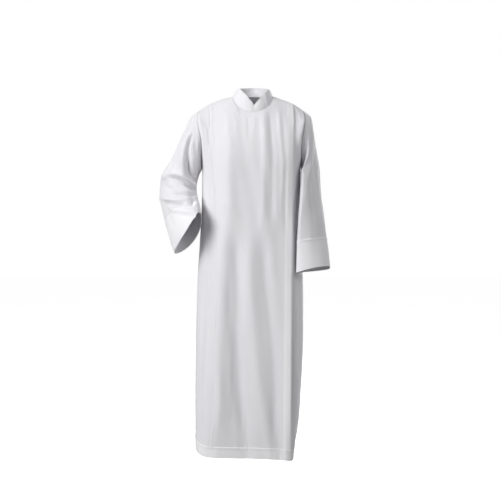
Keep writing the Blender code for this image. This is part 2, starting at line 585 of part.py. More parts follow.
def collar(neckline):
    """Band around the neck, its base on the neckline's own points, its upper end wound over the under one."""
    halfway = (neckline + np.roll(neckline, -1, axis=0)) / 2
    base = np.stack([neckline, halfway], axis=1).reshape(-1, 3)
    ahead = np.where(base[:, 1] < 0, -base[:, 1] / NECK_FRONT, -base[:, 1] / NECK_BACK)
    side = (base[:, 0] - NECK_X) / NECK_HALF
    turn = np.degrees(np.arctan2(side, ahead))
    first = int(np.argmin(np.abs(turn - COLLAR_START)))
    order = (first - np.arange(len(base) + COLLAR_OVERLAP + 1)) % len(base)
    base = base[order]
    side = np.sin(np.radians(turn[order]))
    ahead = np.cos(np.radians(turn[order]))
    wound = np.linspace(-0.5, 0.5, len(order)) * COLLAR_SPIRAL

    top_x = NECK_X + COLLAR_TOP_HALF * side
    toward_v = np.clip(1 - np.abs(top_x - NECK_X - COLLAR_V_X) / COLLAR_TOP_HALF, 0, 1)
    front_z = COLLAR_SIDE_Z + (COLLAR_V_Z - COLLAR_SIDE_Z) * toward_v**COLLAR_V_CURVE
    back_z = COLLAR_SIDE_Z + (COLLAR_BACK_Z - COLLAR_SIDE_Z) * -ahead
    top = np.stack([top_x, -COLLAR_TOP_Y * ahead, np.where(ahead > 0, front_z, back_z)], axis=1)
    outward = np.stack([side, -ahead, 0 * side], axis=1)
    rows = []
    for up in np.linspace(1, 0, COLLAR_ROWS + 1):
        bow = COLLAR_BOW * math.sin(math.pi * up)
        row = base * (1 - up) + top * up + outward * (wound + bow)[:, None]
        row[:, 2] += COLLAR_LIFT * (1 - up)
        rows.append(row)
    cloth("collar", np.array(rows)[:, ::-1], COLLAR_WHITE)


def main():
    clear_scene()
    garment = bpy.data.collections.new("alb")
    bpy.context.scene.collection.children.link(garment)
    front, back, neckline = body_panels()
    sleeves(front, back)
    collar(neckline)


main()
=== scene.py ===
# A front-wrap alb in plain white cloth, standing as it is worn, on a pale studio floor.
# +X is the wearer's left, the front faces -Y and the origin lies between the neck points. Lengths are in
# metres, and in millimetres where folds, creases and the rings of the sleeves are listed.
from collections import namedtuple
import math

import bpy
import numpy as np
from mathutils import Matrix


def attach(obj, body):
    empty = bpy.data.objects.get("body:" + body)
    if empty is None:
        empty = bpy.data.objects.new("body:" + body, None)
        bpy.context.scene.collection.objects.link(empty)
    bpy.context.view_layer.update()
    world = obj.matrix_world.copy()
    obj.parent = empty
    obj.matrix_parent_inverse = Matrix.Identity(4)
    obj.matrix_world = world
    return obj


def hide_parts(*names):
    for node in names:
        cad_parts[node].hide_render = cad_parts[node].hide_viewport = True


millimetre = 0.001
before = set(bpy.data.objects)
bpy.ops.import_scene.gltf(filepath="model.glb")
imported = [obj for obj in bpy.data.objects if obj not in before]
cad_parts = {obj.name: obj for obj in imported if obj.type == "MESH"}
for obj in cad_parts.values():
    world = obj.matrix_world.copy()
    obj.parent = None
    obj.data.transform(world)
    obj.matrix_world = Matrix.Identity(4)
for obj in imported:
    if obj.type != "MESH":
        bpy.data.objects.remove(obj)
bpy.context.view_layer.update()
bpy.ops.object.select_all(action="DESELECT")
print("frame loaded,", len(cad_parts), "nodes")


# camera, floor and light
cameraValues = {"place": (-0.006, -4.0, -0.612), "lens": 72.0, "sensor": 36.0, "sees": 200.0}
bpy.ops.object.camera_add(location=cameraValues["place"], rotation=(math.pi / 2, 0, 0))
studioCamera = bpy.context.object
studioCamera.name = "studioCamera"
studioCamera.data.lens = cameraValues["lens"]
studioCamera.data.sensor_width = cameraValues["sensor"]
studioCamera.data.clip_end = cameraValues["sees"]
bpy.context.scene.camera = studioCamera


def linearColour(hexText):
    # sRGB hex to the linear values that shaders take
    channels = [int(hexText[i:i + 2], 16) / 255 for i in (1, 3, 5)]
    return (*[c / 12.92 if c <= 0.04045 else ((c + 0.055) / 1.055) ** 2.4 for c in channels], 1.0)


def addNode(tree, kind, values=None, links=None, **settings):
    # a node with its settings, fixed inputs and links
    node = tree.nodes.new(kind)
    for name, value in settings.items():
        setattr(node, name, value)
    for name, value in (values or {}).items():
        node.inputs[name].default_value = value
    for name, source in (links or {}).items():
        tree.links.new(source, node.inputs[name])
    return node


def newMaterial(name):
    material = bpy.data.materials.new(name)
    material.use_nodes = True
    material.node_tree.nodes.clear()
    return material, material.node_tree


stageValues = {
    "floorZ": -1.548, "floorSize": 60.0, "domeSize": 46.0, "domeSegments": 48, "domeRings": 24,
    "paper": "#F7F7F8", "paperRoughness": 0.9, "glow": 0.80,
}
lightValues = {
    "ambient": 0.26,
    "key": {"place": (-3.2, -2.6, 1.3), "size": 2.2, "power": 177.0},
    "fill": {"place": (1.8, -2.0, 0.7), "size": 1.3, "power": 18.0},
    "low": {"place": (0.9, -4.4, -1.3), "size": 1.0, "power": 5.0},
    "rear": {"place": (2.3, 4.0, 1.1), "size": 1.8, "power": 150.0},
    "top": {"place": (-0.4, 0.6, 2.6), "size": 2.0, "power": 8.0},
    "aim": (0.0, 0.0, -0.65),
}

paperFloor, tree = newMaterial("mattePaperFloor")    # a seamless paper floor, lit almost to white
paperShader = addNode(tree, "ShaderNodeBsdfPrincipled", {
    "Base Color": linearColour(stageValues["paper"]), "Roughness": stageValues["paperRoughness"],
    "Emission Color": linearColour(stageValues["paper"]), "Emission Strength": stageValues["glow"]})
addNode(tree, "ShaderNodeOutputMaterial", links={"Surface": paperShader.outputs["BSDF"]})
bpy.ops.mesh.primitive_plane_add(size=stageValues["floorSize"], location=(0, 0, stageValues["floorZ"]))
floor = bpy.context.object
floor.name = "studioFloor"
floor.data.materials.append(paperFloor)
floor.visible_diffuse = False      # the paper glows, but throws no light up the cloth

whiteDome, tree = newMaterial("whiteStudioDome")     # the evenly white room round the floor
domeGlow = addNode(tree, "ShaderNodeEmission", {"Color": (1, 1, 1, 1), "Strength": 1.0})
addNode(tree, "ShaderNodeOutputMaterial", links={"Surface": domeGlow.outputs["Emission"]})
bpy.ops.mesh.primitive_uv_sphere_add(
    segments=stageValues["domeSegments"], ring_count=stageValues["domeRings"], radius=stageValues["domeSize"])
dome = bpy.context.object
dome.name = "studioDome"
dome.data.materials.append(whiteDome)
dome.visible_diffuse = False
dome.visible_glossy = False
dome.visible_shadow = False

for name in ("key", "fill", "low", "rear", "top"):
    values = lightValues[name]
    bpy.ops.object.light_add(type="AREA", location=values["place"])
    lamp = bpy.context.object
    lamp.name = name + "Softbox"
    lamp.data.shape = "SQUARE"
    lamp.data.size = values["size"]
    lamp.data.energy = values["power"]
    lamp.visible_camera = False
    across, ahead, up = np.array(lightValues["aim"]) - np.array(values["place"])
    tilt = math.atan2(math.hypot(across, ahead), -up)
    lamp.rotation_euler = (tilt, 0, math.atan2(across, -ahead) - math.pi)

room = bpy.data.worlds.new("studioRoom")
bpy.context.scene.world = room
room.use_nodes = True
room.node_tree.nodes["Background"].inputs["Color"].default_value = (1, 1, 1, 1)
room.node_tree.nodes["Background"].inputs["Strength"].default_value = lightValues["ambient"]
bpy.context.scene.view_settings.view_transform = "Standard"
print("camera, floor and lights placed")


# cloth and thread
weaveValues = {
    "thread": 0.0011,        # real threads lie 0.35 mm apart, and are drawn three times as coarse to show
    "weaveHeight": 0.00088,
    "slubsPerMetre": (900, 22), "slubHeight": 0.00012,           # uneven threads, 1 mm wide and 45 mm long
    "crumplesPerMetre": (26, 9), "crumpleHeight": 0.0011,       # faint handling creases, 40 by 110 mm
    "tonesPerMetre": (7, 3),                                     # slow change of tone, 140 by 330 mm
    "roughness": 0.86, "sheen": 0.18, "sheenRoughness": 0.5, "specular": 0.28,
}
threadValues = {
    "twistsPerMetre": 1400.0, "twistHeight": 0.0001,    # one ridge of the twist every 0.7 mm
    "twistStrength": 0.6, "roughness": 0.6, "sheen": 0.1,
}


def wovenCloth(name, tone, shade, doubledTone, seed):
    # plain-woven polyester and cotton, pressed: matt, with a dim sheen at grazing angles,
    # finely ribbed by its threads, and brighter where it lies double
    v = weaveValues
    material, tree = newMaterial(name)
    onCut = addNode(tree, "ShaderNodeUVMap", uv_map="cut").outputs["UV"]
    threads = []
    # warp, then weft: a wave's period is 2 pi / (20 x scale), which is two threads
    for direction in ("X", "Y"):
        wave = addNode(tree, "ShaderNodeTexWave", {"Scale": math.pi / 20 / v["thread"]}, {"Vector": onCut},
                       wave_type="BANDS", bands_direction=direction, wave_profile="SIN")
        centred = addNode(tree, "ShaderNodeMath", {1: 0.5}, {0: wave.outputs["Fac"]}, operation="SUBTRACT")
        threads.append(centred.outputs[0])
    weave = addNode(tree, "ShaderNodeMath", links={0: threads[0], 1: threads[1]}, operation="MULTIPLY")
    noise = {}
    for use, moved, detail, roughness in (("slubs", (seed, seed * 0.7, 0), 2.0, 0.5),
                                          ("crumples", (seed * 3, seed, 0), 3.0, 0.45),
                                          ("tones", (seed, seed * 2, 0), 2.0, 0.5)):
        spread = addNode(tree, "ShaderNodeMapping", {"Location": moved, "Scale": (*v[use + "PerMetre"], 1)},
                         {"Vector": onCut})
        cloud = addNode(tree, "ShaderNodeTexNoise", {"Scale": 1.0, "Detail": detail, "Roughness": roughness},
                        {"Vector": spread.outputs["Vector"]})
        noise[use] = cloud.outputs["Fac"]
    body = addNode(tree, "ShaderNodeMix", {6: linearColour(shade), 7: linearColour(tone)},
                   {0: noise["tones"]}, data_type="RGBA")
    doubled = addNode(tree, "ShaderNodeAttribute", attribute_name="doubled")
    colour = addNode(tree, "ShaderNodeMix", {7: linearColour(doubledTone)},
                     {0: doubled.outputs["Fac"], 6: body.outputs[2]}, data_type="RGBA")
    relief = {}
    for pattern, depth in ((weave.outputs[0], v["weaveHeight"]), (noise["slubs"], v["slubHeight"]),
                           (noise["crumples"], v["crumpleHeight"])):
        bump = addNode(tree, "ShaderNodeBump", {"Strength": 1.0, "Distance": depth},
                       {"Height": pattern, **relief})
        relief = {"Normal": bump.outputs["Normal"]}
    shader = addNode(tree, "ShaderNodeBsdfPrincipled", {
        "Roughness": v["roughness"], "Sheen Weight": v["sheen"], "Sheen Roughness": v["sheenRoughness"],
        "Specular IOR Level": v["specular"]}, {"Base Color": colour.outputs[2], **relief})
    addNode(tree, "ShaderNodeOutputMaterial", links={"Surface": shader.outputs["BSDF"]})
    return material


def spunThread(name, tone):
    # spun polyester sewing thread: a little glossier than the cloth, ridged across by its twist
    v = threadValues
    material, tree = newMaterial(name)
    place = addNode(tree, "ShaderNodeTexCoord")
    twist = addNode(tree, "ShaderNodeTexNoise", {"Scale": v["twistsPerMetre"], "Detail": 1.0},
                    {"Vector": place.outputs["Object"]})
    bump = addNode(tree, "ShaderNodeBump", {"Strength": v["twistStrength"], "Distance": v["twistHeight"]},
                   {"Height": twist.outputs["Fac"]})
    shader = addNode(tree, "ShaderNodeBsdfPrincipled", {
        "Base Color": linearColour(tone), "Roughness": v["roughness"], "Sheen Weight": v["sheen"]},
        {"Normal": bump.outputs["Normal"]})
    addNode(tree, "ShaderNodeOutputMaterial", links={"Surface": shader.outputs["BSDF"]})
    return material


panelCloth = wovenCloth("wovenPolyCottonFront", "#E9E8EB", "#E4E3E7", "#F1F0F2", 1.3)
sideCloth = wovenCloth("wovenPolyCottonSideFronts", "#E8E7EA", "#E3E2E6", "#F0EFF1", 4.1)
backCloth = wovenCloth("wovenPolyCottonBack", "#E8E7EA", "#E3E2E6", "#F0EFF1", 7.7)
sleeveCloth = wovenCloth("wovenPolyCottonSleeves", "#E8E7EA", "#E3E2E6", "#F1F0F3", 2.9)
collarCloth = wovenCloth("wovenPolyCottonInterfaced", "#EFEEF1", "#EBEAED", "#F2F1F3", 5.6)
sewingThread = spunThread("spunPolyesterThread", "#EFEEEC")
print("cloth and thread materials made")


# what works the surfaces out
surfaceValues = {
    "facing": (0.02, 0.40),       # creases fade where the cloth turns away from the side they are drawn on
    "spotsPerPoint": 6,
    "driftWaves": 18, "driftAcross": (0.05, 0.16), "driftDown": (0.25, 0.90),
    "puckerWaves": 7, "puckerSpread": (0.7, 1.6),
    "wallSteps": 8, "sharpAngle": 55,
}


def smoothStep(low, high, value):
    t = np.clip((np.asarray(value, float) - low) / (high - low), 0, 1)
    return t * t * (3 - 2 * t)


def easedCurve(knots, values, at):
    # smooth curve through the values, read anywhere
    knots = np.asarray(knots, float)
    values = np.asarray(values, float)
    slopes = np.gradient(values, knots, axis=0)
    at = np.clip(np.asarray(at, float), knots[0], knots[-1])
    i = np.clip(np.searchsorted(knots, at, side="right") - 1, 0, len(knots) - 2)
    span = knots[i + 1] - knots[i]
    t = (at - knots[i]) / span
    if values.ndim > 1:
        t = t[..., None]
        span = span[..., None]
    start = (2 * t**3 - 3 * t**2 + 1) * values[i] + (t**3 - 2 * t**2 + t) * span * slopes[i]
    end = (-2 * t**3 + 3 * t**2) * values[i + 1] + (t**3 - t**2) * span * slopes[i + 1]
    return start + end


def columnOf(table, name):
    return [getattr(row, name) for row in table]


def downTable(table, name, z):
    return easedCurve([-row.z for row in table], columnOf(table, name), -np.asarray(z, float))


def arcLengths(points):
    return np.concatenate([[0], np.cumsum(np.linalg.norm(np.diff(points, axis=0), axis=1))])


def gridNormals(grid, sign):
    alongRow = np.gradient(grid, axis=1)
    downRows = np.gradient(grid, axis=0)
    normal = sign * np.cross(downRows, alongRow)
    return normal / np.maximum(np.linalg.norm(normal, axis=2, keepdims=True), 1e-12)


def foldBell(distance, sharp=2.0):
    # a rounded fold: 1 on its line, a quarter at a distance of 1
    return np.exp(-1.4 * distance**sharp)


# a crease is drawn on one view of the garment through (across, height) points; a trough has negative depth
crease = namedtuple("crease", "path width depth skew sharp fade", defaults=(0.0, 2.0, (0.25, 0.25)))


def creaseHeight(points, outward, creases, facing):
    facing = np.array(facing, float)
    acrossAxis = 1 if abs(facing[0]) > 0.5 else 0
    px = points[..., acrossAxis]
    pz = points[..., 2]
    seen = smoothStep(*surfaceValues["facing"], outward @ facing)
    height = np.zeros(px.shape)
    for line in creases:
        last = len(line.path) - 1
        steps = np.linspace(0, last, surfaceValues["spotsPerPoint"] * last + 1)
        spots = easedCurve(np.arange(last + 1), np.array(line.path) * millimetre, steps)
        lengths = arcLengths(spots)
        near = np.full(px.shape, np.inf)
        place = np.zeros(px.shape)
        handed = np.zeros(px.shape)
        for k in range(len(spots) - 1):
            (ax, az), (bx, bz) = spots[k], spots[k + 1]
            dx, dz = bx - ax, bz - az
            span = math.hypot(dx, dz)
            t = np.clip(((px - ax) * dx + (pz - az) * dz) / span**2, 0, 1)
            away = np.hypot(px - ax - t * dx, pz - az - t * dz)
            closer = away < near
            near = np.where(closer, away, near)
            place = np.where(closer, (lengths[k] + t * span) / lengths[-1], place)
            handed = np.where(closer, np.sign((px - ax) * dz - (pz - az) * dx), handed)
        width = line.width * millimetre * (1 + line.skew * handed)
        strength = line.depth * millimetre * foldBell(near / width, line.sharp)
        if line.fade[0] > 0:
            strength *= smoothStep(0, line.fade[0], place)
        if line.fade[1] > 0:
            strength *= smoothStep(1, 1 - line.fade[1], place)
        height += strength
    return height * seen


def sumOfWaves(chance, count, phaseOf, shape):
    total = np.zeros(shape)
    for _ in range(count):
        turns = phaseOf()
        total += np.sin(2 * math.pi * turns + chance.uniform(0, 2 * math.pi))
    return total / math.sqrt(count / 2)


def softDrift(u, v, seed):
    # slow unevenness of hanging cloth, much longer down than across, about 1 high
    values = surfaceValues
    chance = np.random.default_rng(seed)

    def phase():
        acrossLength = chance.uniform(*values["driftAcross"])
        return u / acrossLength + v / chance.uniform(*values["driftDown"])

    return sumOfWaves(chance, values["driftWaves"], phase, np.broadcast(u, v).shape)


def pucker(u, seed, length):
    # the small pull of a sewn line
    chance = np.random.default_rng(seed)
    return sumOfWaves(chance, surfaceValues["puckerWaves"],
                      lambda: u / (length * chance.uniform(*surfaceValues["puckerSpread"])), np.shape(u))


def layCloth(name, grid, material, thickness, doubled=None, doubledThickness=None, ring=False, replaces=None):
    # a thin shell on a grid of points: uv in metres of cloth, doubled is 1 where the cloth lies double
    rows, columns = grid.shape[:2]
    span = columns if ring else columns - 1
    r, c = np.meshgrid(np.arange(rows - 1), np.arange(span), indexing="ij")
    after = (c + 1) % columns
    upper = r * columns
    lower = upper + columns
    faces = np.stack([upper + c, lower + c, lower + after, upper + after], axis=-1).reshape(-1, 4)
    mesh = bpy.data.meshes.new(name)
    mesh.from_pydata(grid.reshape(-1, 3).tolist(), [], faces.tolist())
    across = np.array([arcLengths(np.concatenate([row, row[:1]]) if ring else row) for row in grid])
    across = across - across.mean(axis=1, keepdims=True)
    down = np.array([arcLengths(grid[:, k]) for k in range(columns)]).T
    if ring:
        down = np.concatenate([down, down[:, :1]], axis=1)
    corners = [(r, c), (r + 1, c), (r + 1, c + 1), (r, c + 1)]
    uv = np.stack([np.stack([across[a, b], -down[a, b]], axis=-1) for a, b in corners], axis=2).reshape(-1, 2)
    layer = mesh.uv_layers.new(name="cut")
    layer.data.foreach_set("uv", uv.astype(np.float32).ravel())
    amount = np.zeros((rows, columns)) if doubled is None else np.broadcast_to(doubled, (rows, columns))
    mark = mesh.attributes.new("doubled", "FLOAT", "POINT")
    mark.data.foreach_set("value", amount.astype(np.float32).ravel())
    mesh.update()
    piece = bpy.data.objects.new(name, mesh)
    bpy.context.scene.collection.objects.link(piece)
    piece.data.materials.append(material)
    wall = piece.modifiers.new("thickness", "SOLIDIFY")
    wall.offset = 0
    wall.thickness = thickness
    if doubled is not None and doubledThickness:
        group = piece.vertex_groups.new(name="doubledCloth")
        steps = surfaceValues["wallSteps"]
        levels = np.round(amount.ravel() * steps).astype(int)
        for level in range(1, steps + 1):
            picked = np.nonzero(levels == level)[0].tolist()
            if picked:
                group.add(picked, level / steps, "REPLACE")
        wall.vertex_group = "doubledCloth"
        wall.thickness = doubledThickness
        wall.thickness_vertex_group = thickness / doubledThickness
    bpy.ops.object.select_all(action="DESELECT")
    piece.select_set(True)
    bpy.context.view_layer.objects.active = piece
    bpy.ops.object.modifier_apply(modifier="thickness")
    bpy.ops.object.shade_smooth_by_angle(angle=math.radians(surfaceValues["sharpAngle"]))
    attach(piece, "root")
    if replaces:
        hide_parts(replaces)
    return piece


# body, its main form as in the solids
section = namedtuple("section", "z half front back frontSquare backSquare shift")
bodySections = [
    section(-0.290, half=0.195, front=0.138, back=0.148, frontSquare=2.4, backSquare=2.4, shift=0.000),
    section(-0.450, half=0.196, front=0.144, back=0.152, frontSquare=2.4, backSquare=2.4, shift=-0.002),
    section(-0.600, half=0.203, front=0.152, back=0.160, frontSquare=2.5, backSquare=2.5, shift=-0.004),
    section(-0.720, half=0.208, front=0.159, back=0.167, frontSquare=2.6, backSquare=2.6, shift=-0.005),
    section(-0.950, half=0.212, front=0.170, back=0.177, frontSquare=3.3, backSquare=2.8, shift=-0.008),
    section(-1.200, half=0.207, front=0.181, back=0.188, frontSquare=4.4, backSquare=3.0, shift=-0.015),
    section(-1.430, half=0.196, front=0.190, back=0.197, frontSquare=5.4, backSquare=3.1, shift=-0.023),
]
shoulderPoint = namedtuple("shoulderPoint", "out z")
shoulderSeam = [
    shoulderPoint(0.070, 0.002),
    shoulderPoint(0.114, -0.008),
    shoulderPoint(0.160, -0.024),
    shoulderPoint(0.190, -0.041),
    shoulderPoint(0.207, -0.054),
]
armholePoint = namedtuple("armholePoint", "down out forward")
armholeLine = [
    armholePoint(0.00, out=0.207, forward=0.000),
    armholePoint(0.15, out=0.210, forward=0.030),
    armholePoint(0.30, out=0.212, forward=0.052),
    armholePoint(0.45, out=0.206, forward=0.062),
    armholePoint(0.60, out=0.198, forward=0.062),
    armholePoint(0.80, out=0.195, forward=0.040),
    armholePoint(1.00, out=0.195, forward=0.000),
]
fold = namedtuple("fold", "across z width depth")

bodyValues = {
    "neckX": 0.006, "neckHalf": 0.078, "neckFront": 0.075, "neckBack": 0.066,
    "neckDrop": 0.069, "neckRise": 0.010,
    "tipX": 0.207, "tipY": 0.012,
    "chestZ": -0.290, "hemZ": -1.408, "hemDepth": 0.042,
    "hemSideLift": 0.022, "hemReach": 0.500, "hemTilt": 0.004,
    "upperRows": 60, "rowCurve": 1.35, "rowHeight": 0.005, "dense": 721,
    "foldStart": 0.14, "sideCalm": (0.255, 0.215), "neckSoft": 12.0,
    "cloth": 0.0011, "hem": 0.0021,
    "hemRows": (0.009, 0.006, 0.004, 0.0028, 0.0018, 0.0009, 0.0,
                -0.0009, -0.0018, -0.0028, -0.004, -0.006, -0.009),
    "edgeRows": (0.006, 0.0035, 0.0018, 0.0007, 0.0),
    "seamColumns": (0.0, 0.0008, 0.0017, 0.0028, 0.0042, 0.0062, 0.009, 0.0125),
    "columnWidth": 0.0043,
    "drift": 0.0006,
    "seamDip": 0.0011, "seamWidth": 0.0024,
    "seamRidge": 0.0007, "ridgeAt": 0.0065, "ridgeWidth": 0.0035,
    "hemCalm": 0.75, "hemCalmed": (-1.22, -1.385), "calmAcross": (0.115, 0.150),
    "softWithin": 0.2, "softKept": (0.58, 0.80), "forwardPower": 8, "sideLiftPower": (12, 24), "hemSteps": 6,
    "footTaper": 0.013, "taperFromTo": (-1.27, -1.43),
    "cornerDrop": 0.0055, "cornerAt": 0.92, "cornerWidth": 0.34,
    "hemRidge": 0.0011, "hemRidgeWidth": 0.0032, "hemRidgeBelow": 0.0030,
    "hemPinch": 0.0006, "hemPinchWidth": 0.0014, "hemPinchAbove": 0.0006,
    "secondHem": 0.0003, "secondHemLine": 0.013, "secondHemWidth": 0.004,
    "hemPull": 0.0004, "hemPulled": 0.012, "hemPullLength": 0.022, "hemSharp": 0.001,
    "neckOpened": 0.012, "neckWithin": 0.006, "driftStart": 0.03, "edgeGap": 0.0002,
    "waistSeam": 0.35, "waistSeamFromTo": (-0.55, -0.30),
}


def shoulderLine(x):
    out = np.abs(x)
    z = easedCurve(columnOf(shoulderSeam, "out"), columnOf(shoulderSeam, "z"), out)
    v = bodyValues
    return v["tipY"] * np.clip((out - v["neckHalf"]) / (v["tipX"] - v["neckHalf"]), 0, 1), z


def topEdge(x, face):
    v = bodyValues
    y, z = shoulderLine(x)
    side = np.clip((x - v["neckX"]) / v["neckHalf"], -1, 1)
    dip = np.sqrt(1 - side**2)
    onNeck = np.abs(x - v["neckX"]) < v["neckHalf"]
    endY, endZ = shoulderLine(v["neckX"] + v["neckHalf"] * np.sign(x - v["neckX"]))
    if face < 0:
        neckY = endY - v["neckFront"] * dip
        neckZ = endZ - (v["neckDrop"] + endZ) * dip
    else:
        neckY = endY + v["neckBack"] * dip
        neckZ = endZ + (v["neckRise"] - endZ) * dip
    return np.where(onNeck, neckY, y), np.where(onNeck, neckZ, z)


def superellipse(square):
    turn = np.linspace(-math.pi / 2, math.pi / 2, bodyValues["dense"])
    across = np.sign(np.sin(turn)) * np.abs(np.sin(turn)) ** (2 / square)
    deep = np.abs(np.cos(turn)) ** (2 / square)
    return across, deep


def foldHeight(folds, across, z):
    height = np.zeros_like(across)
    for one in folds:
        levels = np.array(one.z) * millimetre
        line = easedCurve(-levels, np.array(one.across) * millimetre, -z)
        grow = smoothStep(levels[0], levels[0] - bodyValues["foldStart"], z)
        end = smoothStep(levels[-1], levels[-1] + bodyValues["foldStart"], z)
        bell = foldBell((across - line) / (one.width * millimetre))
        height += one.depth * millimetre * bell * grow * end
    middle = 1 - smoothStep(*bodyValues["calmAcross"], across)
    height *= 1 - bodyValues["hemCalm"] * smoothStep(*bodyValues["hemCalmed"], z) * middle
    return height * smoothStep(*bodyValues["sideCalm"], np.abs(across))


def softened(values, across, spread):
    # takes the corners off the neckline's shape for the cloth below it, but not near the armholes
    if spread < 0.5:
        return values
    reach = int(3 * spread)
    weights = np.exp(-0.5 * (np.arange(-reach, reach + 1) / spread) ** 2)
    smooth = np.convolve(np.pad(values, reach, mode="edge"), weights / weights.sum(), mode="valid")
    kept = smoothStep(*bodyValues["softKept"], np.abs(across))
    return smooth * (1 - kept) + values * kept


def bodyHalf(face, folds):
    # dense rows of the front (face -1) or back (face 1), with each row's nominal height
    v = bodyValues
    side = "front" if face < 0 else "back"
    across, deep = superellipse(downTable(bodySections, side + "Square", v["chestZ"]))
    depth = downTable(bodySections, side, v["chestZ"])
    rows = []
    for step in range(v["upperRows"]):
        down = step / v["upperRows"]
        out = easedCurve(columnOf(armholeLine, "down"), columnOf(armholeLine, "out"), down)
        forward = easedCurve(columnOf(armholeLine, "down"), columnOf(armholeLine, "forward"), down)
        x = across * out
        topY, topZ = topEdge(x * v["tipX"] / out, face)
        soft = v["neckSoft"] * min(1.0, down / v["softWithin"])
        topY = softened(topY, across, soft)
        topZ = softened(topZ, across, soft)
        y = topY + (face * depth * deep - topY) * math.sin(down * math.pi / 2)
        y = y + face * forward * np.abs(across) ** v["forwardPower"]
        rows.append(np.stack([x, y, topZ + (v["chestZ"] - topZ) * down ** v["rowCurve"]], axis=1))
    hemLine = v["hemZ"] + v["hemDepth"]
    top = hemLine + v["hemRows"][0]
    low = hemLine + v["hemRows"][-1]
    levels = list(np.linspace(v["chestZ"], top, round((v["chestZ"] - top) / v["rowHeight"]), endpoint=False))
    levels += [hemLine + step for step in v["hemRows"]]
    foot = v["hemZ"] + v["edgeRows"][0]
    levels += list(np.linspace(low, foot, v["hemSteps"])[1:-1]) + [v["hemZ"] + step for step in v["edgeRows"]]
    for z in levels:
        across, deep = superellipse(downTable(bodySections, side + "Square", z))
        depth = downTable(bodySections, side, z)
        x = downTable(bodySections, "shift", z) + downTable(bodySections, "half", z) * across
        x = x - v["footTaper"] * smoothStep(*v["taperFromTo"], z) * np.clip(across, 0, 1) ** 3
        nearHem = smoothStep(v["hemZ"] + v["hemReach"], v["hemZ"], z)
        sideLift = v["hemSideLift"] * np.abs(across) ** np.where(across < 0, *v["sideLiftPower"])
        drop = v["cornerDrop"] * foldBell((across - v["cornerAt"]) / v["cornerWidth"]) * (face < 0)
        height = z + nearHem * (sideLift - v["hemTilt"] * across - drop)
        rows.append(np.stack([x, face * depth * deep, height + 0 * x], axis=1))
    grid = np.array(rows)
    length = np.array([arcLengths(row) for row in grid])
    across = length - length[:, v["dense"] // 2][:, None]
    grid = grid + gridNormals(grid, -face) * foldHeight(folds, across, grid[:, :, 2])[:, :, None]
    nominal = np.concatenate([grid[:v["upperRows"], v["dense"] // 2, 2], levels])
    return grid, nominal


def cutPanel(grid, stops, width):
    # the stretch of each row between two stops, in columns that lie closer near its edges
    edge = np.array(bodyValues["seamColumns"])
    inner = max(3, round(width / bodyValues["columnWidth"]))
    panel = []
    fromLow = []
    fromHigh = []
    for points, (low, high) in zip(grid, stops):
        length = arcLengths(points)
        scale = min(1.0, (high - low) / (3 * edge[-1]))
        middle = np.linspace(low + edge[-1] * scale, high - edge[-1] * scale, inner + 1)[1:-1]
        places = np.concatenate([low + edge * scale, middle, high - edge[::-1] * scale])
        panel.append(readAlong(points, length, places))
        fromLow.append(places - low)
        fromHigh.append(high - places)
    return np.array(panel), np.array(fromLow), np.array(fromHigh)


def trimTop(panel, drop):
    # lets the top edge down by drop, along the cloth; returns each point's distance from it too
    drop = np.broadcast_to(drop, panel.shape[1])
    panel = panel.copy()
    fromTop = np.zeros(panel.shape[:2])
    for k in range(panel.shape[1]):
        line = panel[:, k].copy()
        length = arcLengths(line)
        reach = length[bodyValues["upperRows"]]
        places = np.where(length < reach, drop[k] + length * (1 - drop[k] / reach), length)
        panel[:, k] = readAlong(line, length, places)
        fromTop[:, k] = places - drop[k]
    return panel, fromTop


def readAlong(points, lengths, places):
    # the points at some places along a line, whose own points lie at these lengths
    return np.stack([np.interp(places, lengths, points[:, axis]) for axis in range(3)], axis=-1)


def lengthAtX(points, x):
    return float(np.interp(x, np.maximum.accumulate(points[:, 0]), arcLengths(points)))


def ridgeAt(distance, width):
    return np.exp(-(distance / width) ** 2)


def seamProfile(distance, dip=1.0, ridge=1.0):
    # a sewn edge turns in, and the seam allowance under it lifts a soft ridge beside it
    v = bodyValues
    low = -dip * v["seamDip"] * ridgeAt(distance, v["seamWidth"])
    return low + ridge * v["seamRidge"] * ridgeAt(distance - v["ridgeAt"], v["ridgeWidth"])


def hemProfile(nominal, u, seed):
    # the stitched line of the hem: a pinched row between two soft ridges, and a fainter line above it
    v = bodyValues
    away = nominal - (v["hemZ"] + v["hemDepth"])
    ridge = v["hemRidge"] * ridgeAt(away + v["hemRidgeBelow"], v["hemRidgeWidth"])
    pinch = -v["hemPinch"] * ridgeAt(away - v["hemPinchAbove"], v["hemPinchWidth"])
    second = -v["secondHem"] * ridgeAt(away - v["secondHemLine"], v["secondHemWidth"])
    pulled = v["hemPull"] * ridgeAt(away, v["hemPulled"])
    return (ridge + pinch + second)[:, None] + pulled[:, None] * pucker(u, seed, v["hemPullLength"])


def openNeck(panel, fromTop, amount):
    # moves the neckline out from the collar, less and less down the cloth
    v = bodyValues
    away = panel[0, :, :2] - np.array([v["neckX"], 0])
    away = away / np.array([v["neckHalf"], v["neckFront"]])
    away = away / np.linalg.norm(away, axis=1, keepdims=True)
    near = 1 - smoothStep(0, v["neckOpened"], fromTop)
    panel[:, :, :2] += near[:, :, None] * (away * np.reshape(amount, (-1, 1)))[None]


def acrossOf(panel):
    length = np.array([arcLengths(row) for row in panel])
    return length - length.mean(axis=1, keepdims=True)


def neckShare(panel):
    v = bodyValues
    return smoothStep(0.0, v["neckWithin"], v["neckHalf"] - np.abs(panel[0, :, 0] - v["neckX"]))


def hemShare(levels):
    v = bodyValues
    line = v["hemZ"] + v["hemDepth"]
    return smoothStep(line + v["hemSharp"], line - v["hemSharp"], levels)[:, None]


def seamShown(panel):
    # the pleat edge stands out less from the waist down
    v = bodyValues
    return v["waistSeam"] + (1 - v["waistSeam"]) * smoothStep(*v["waistSeamFromTo"], panel[:, :, 2])


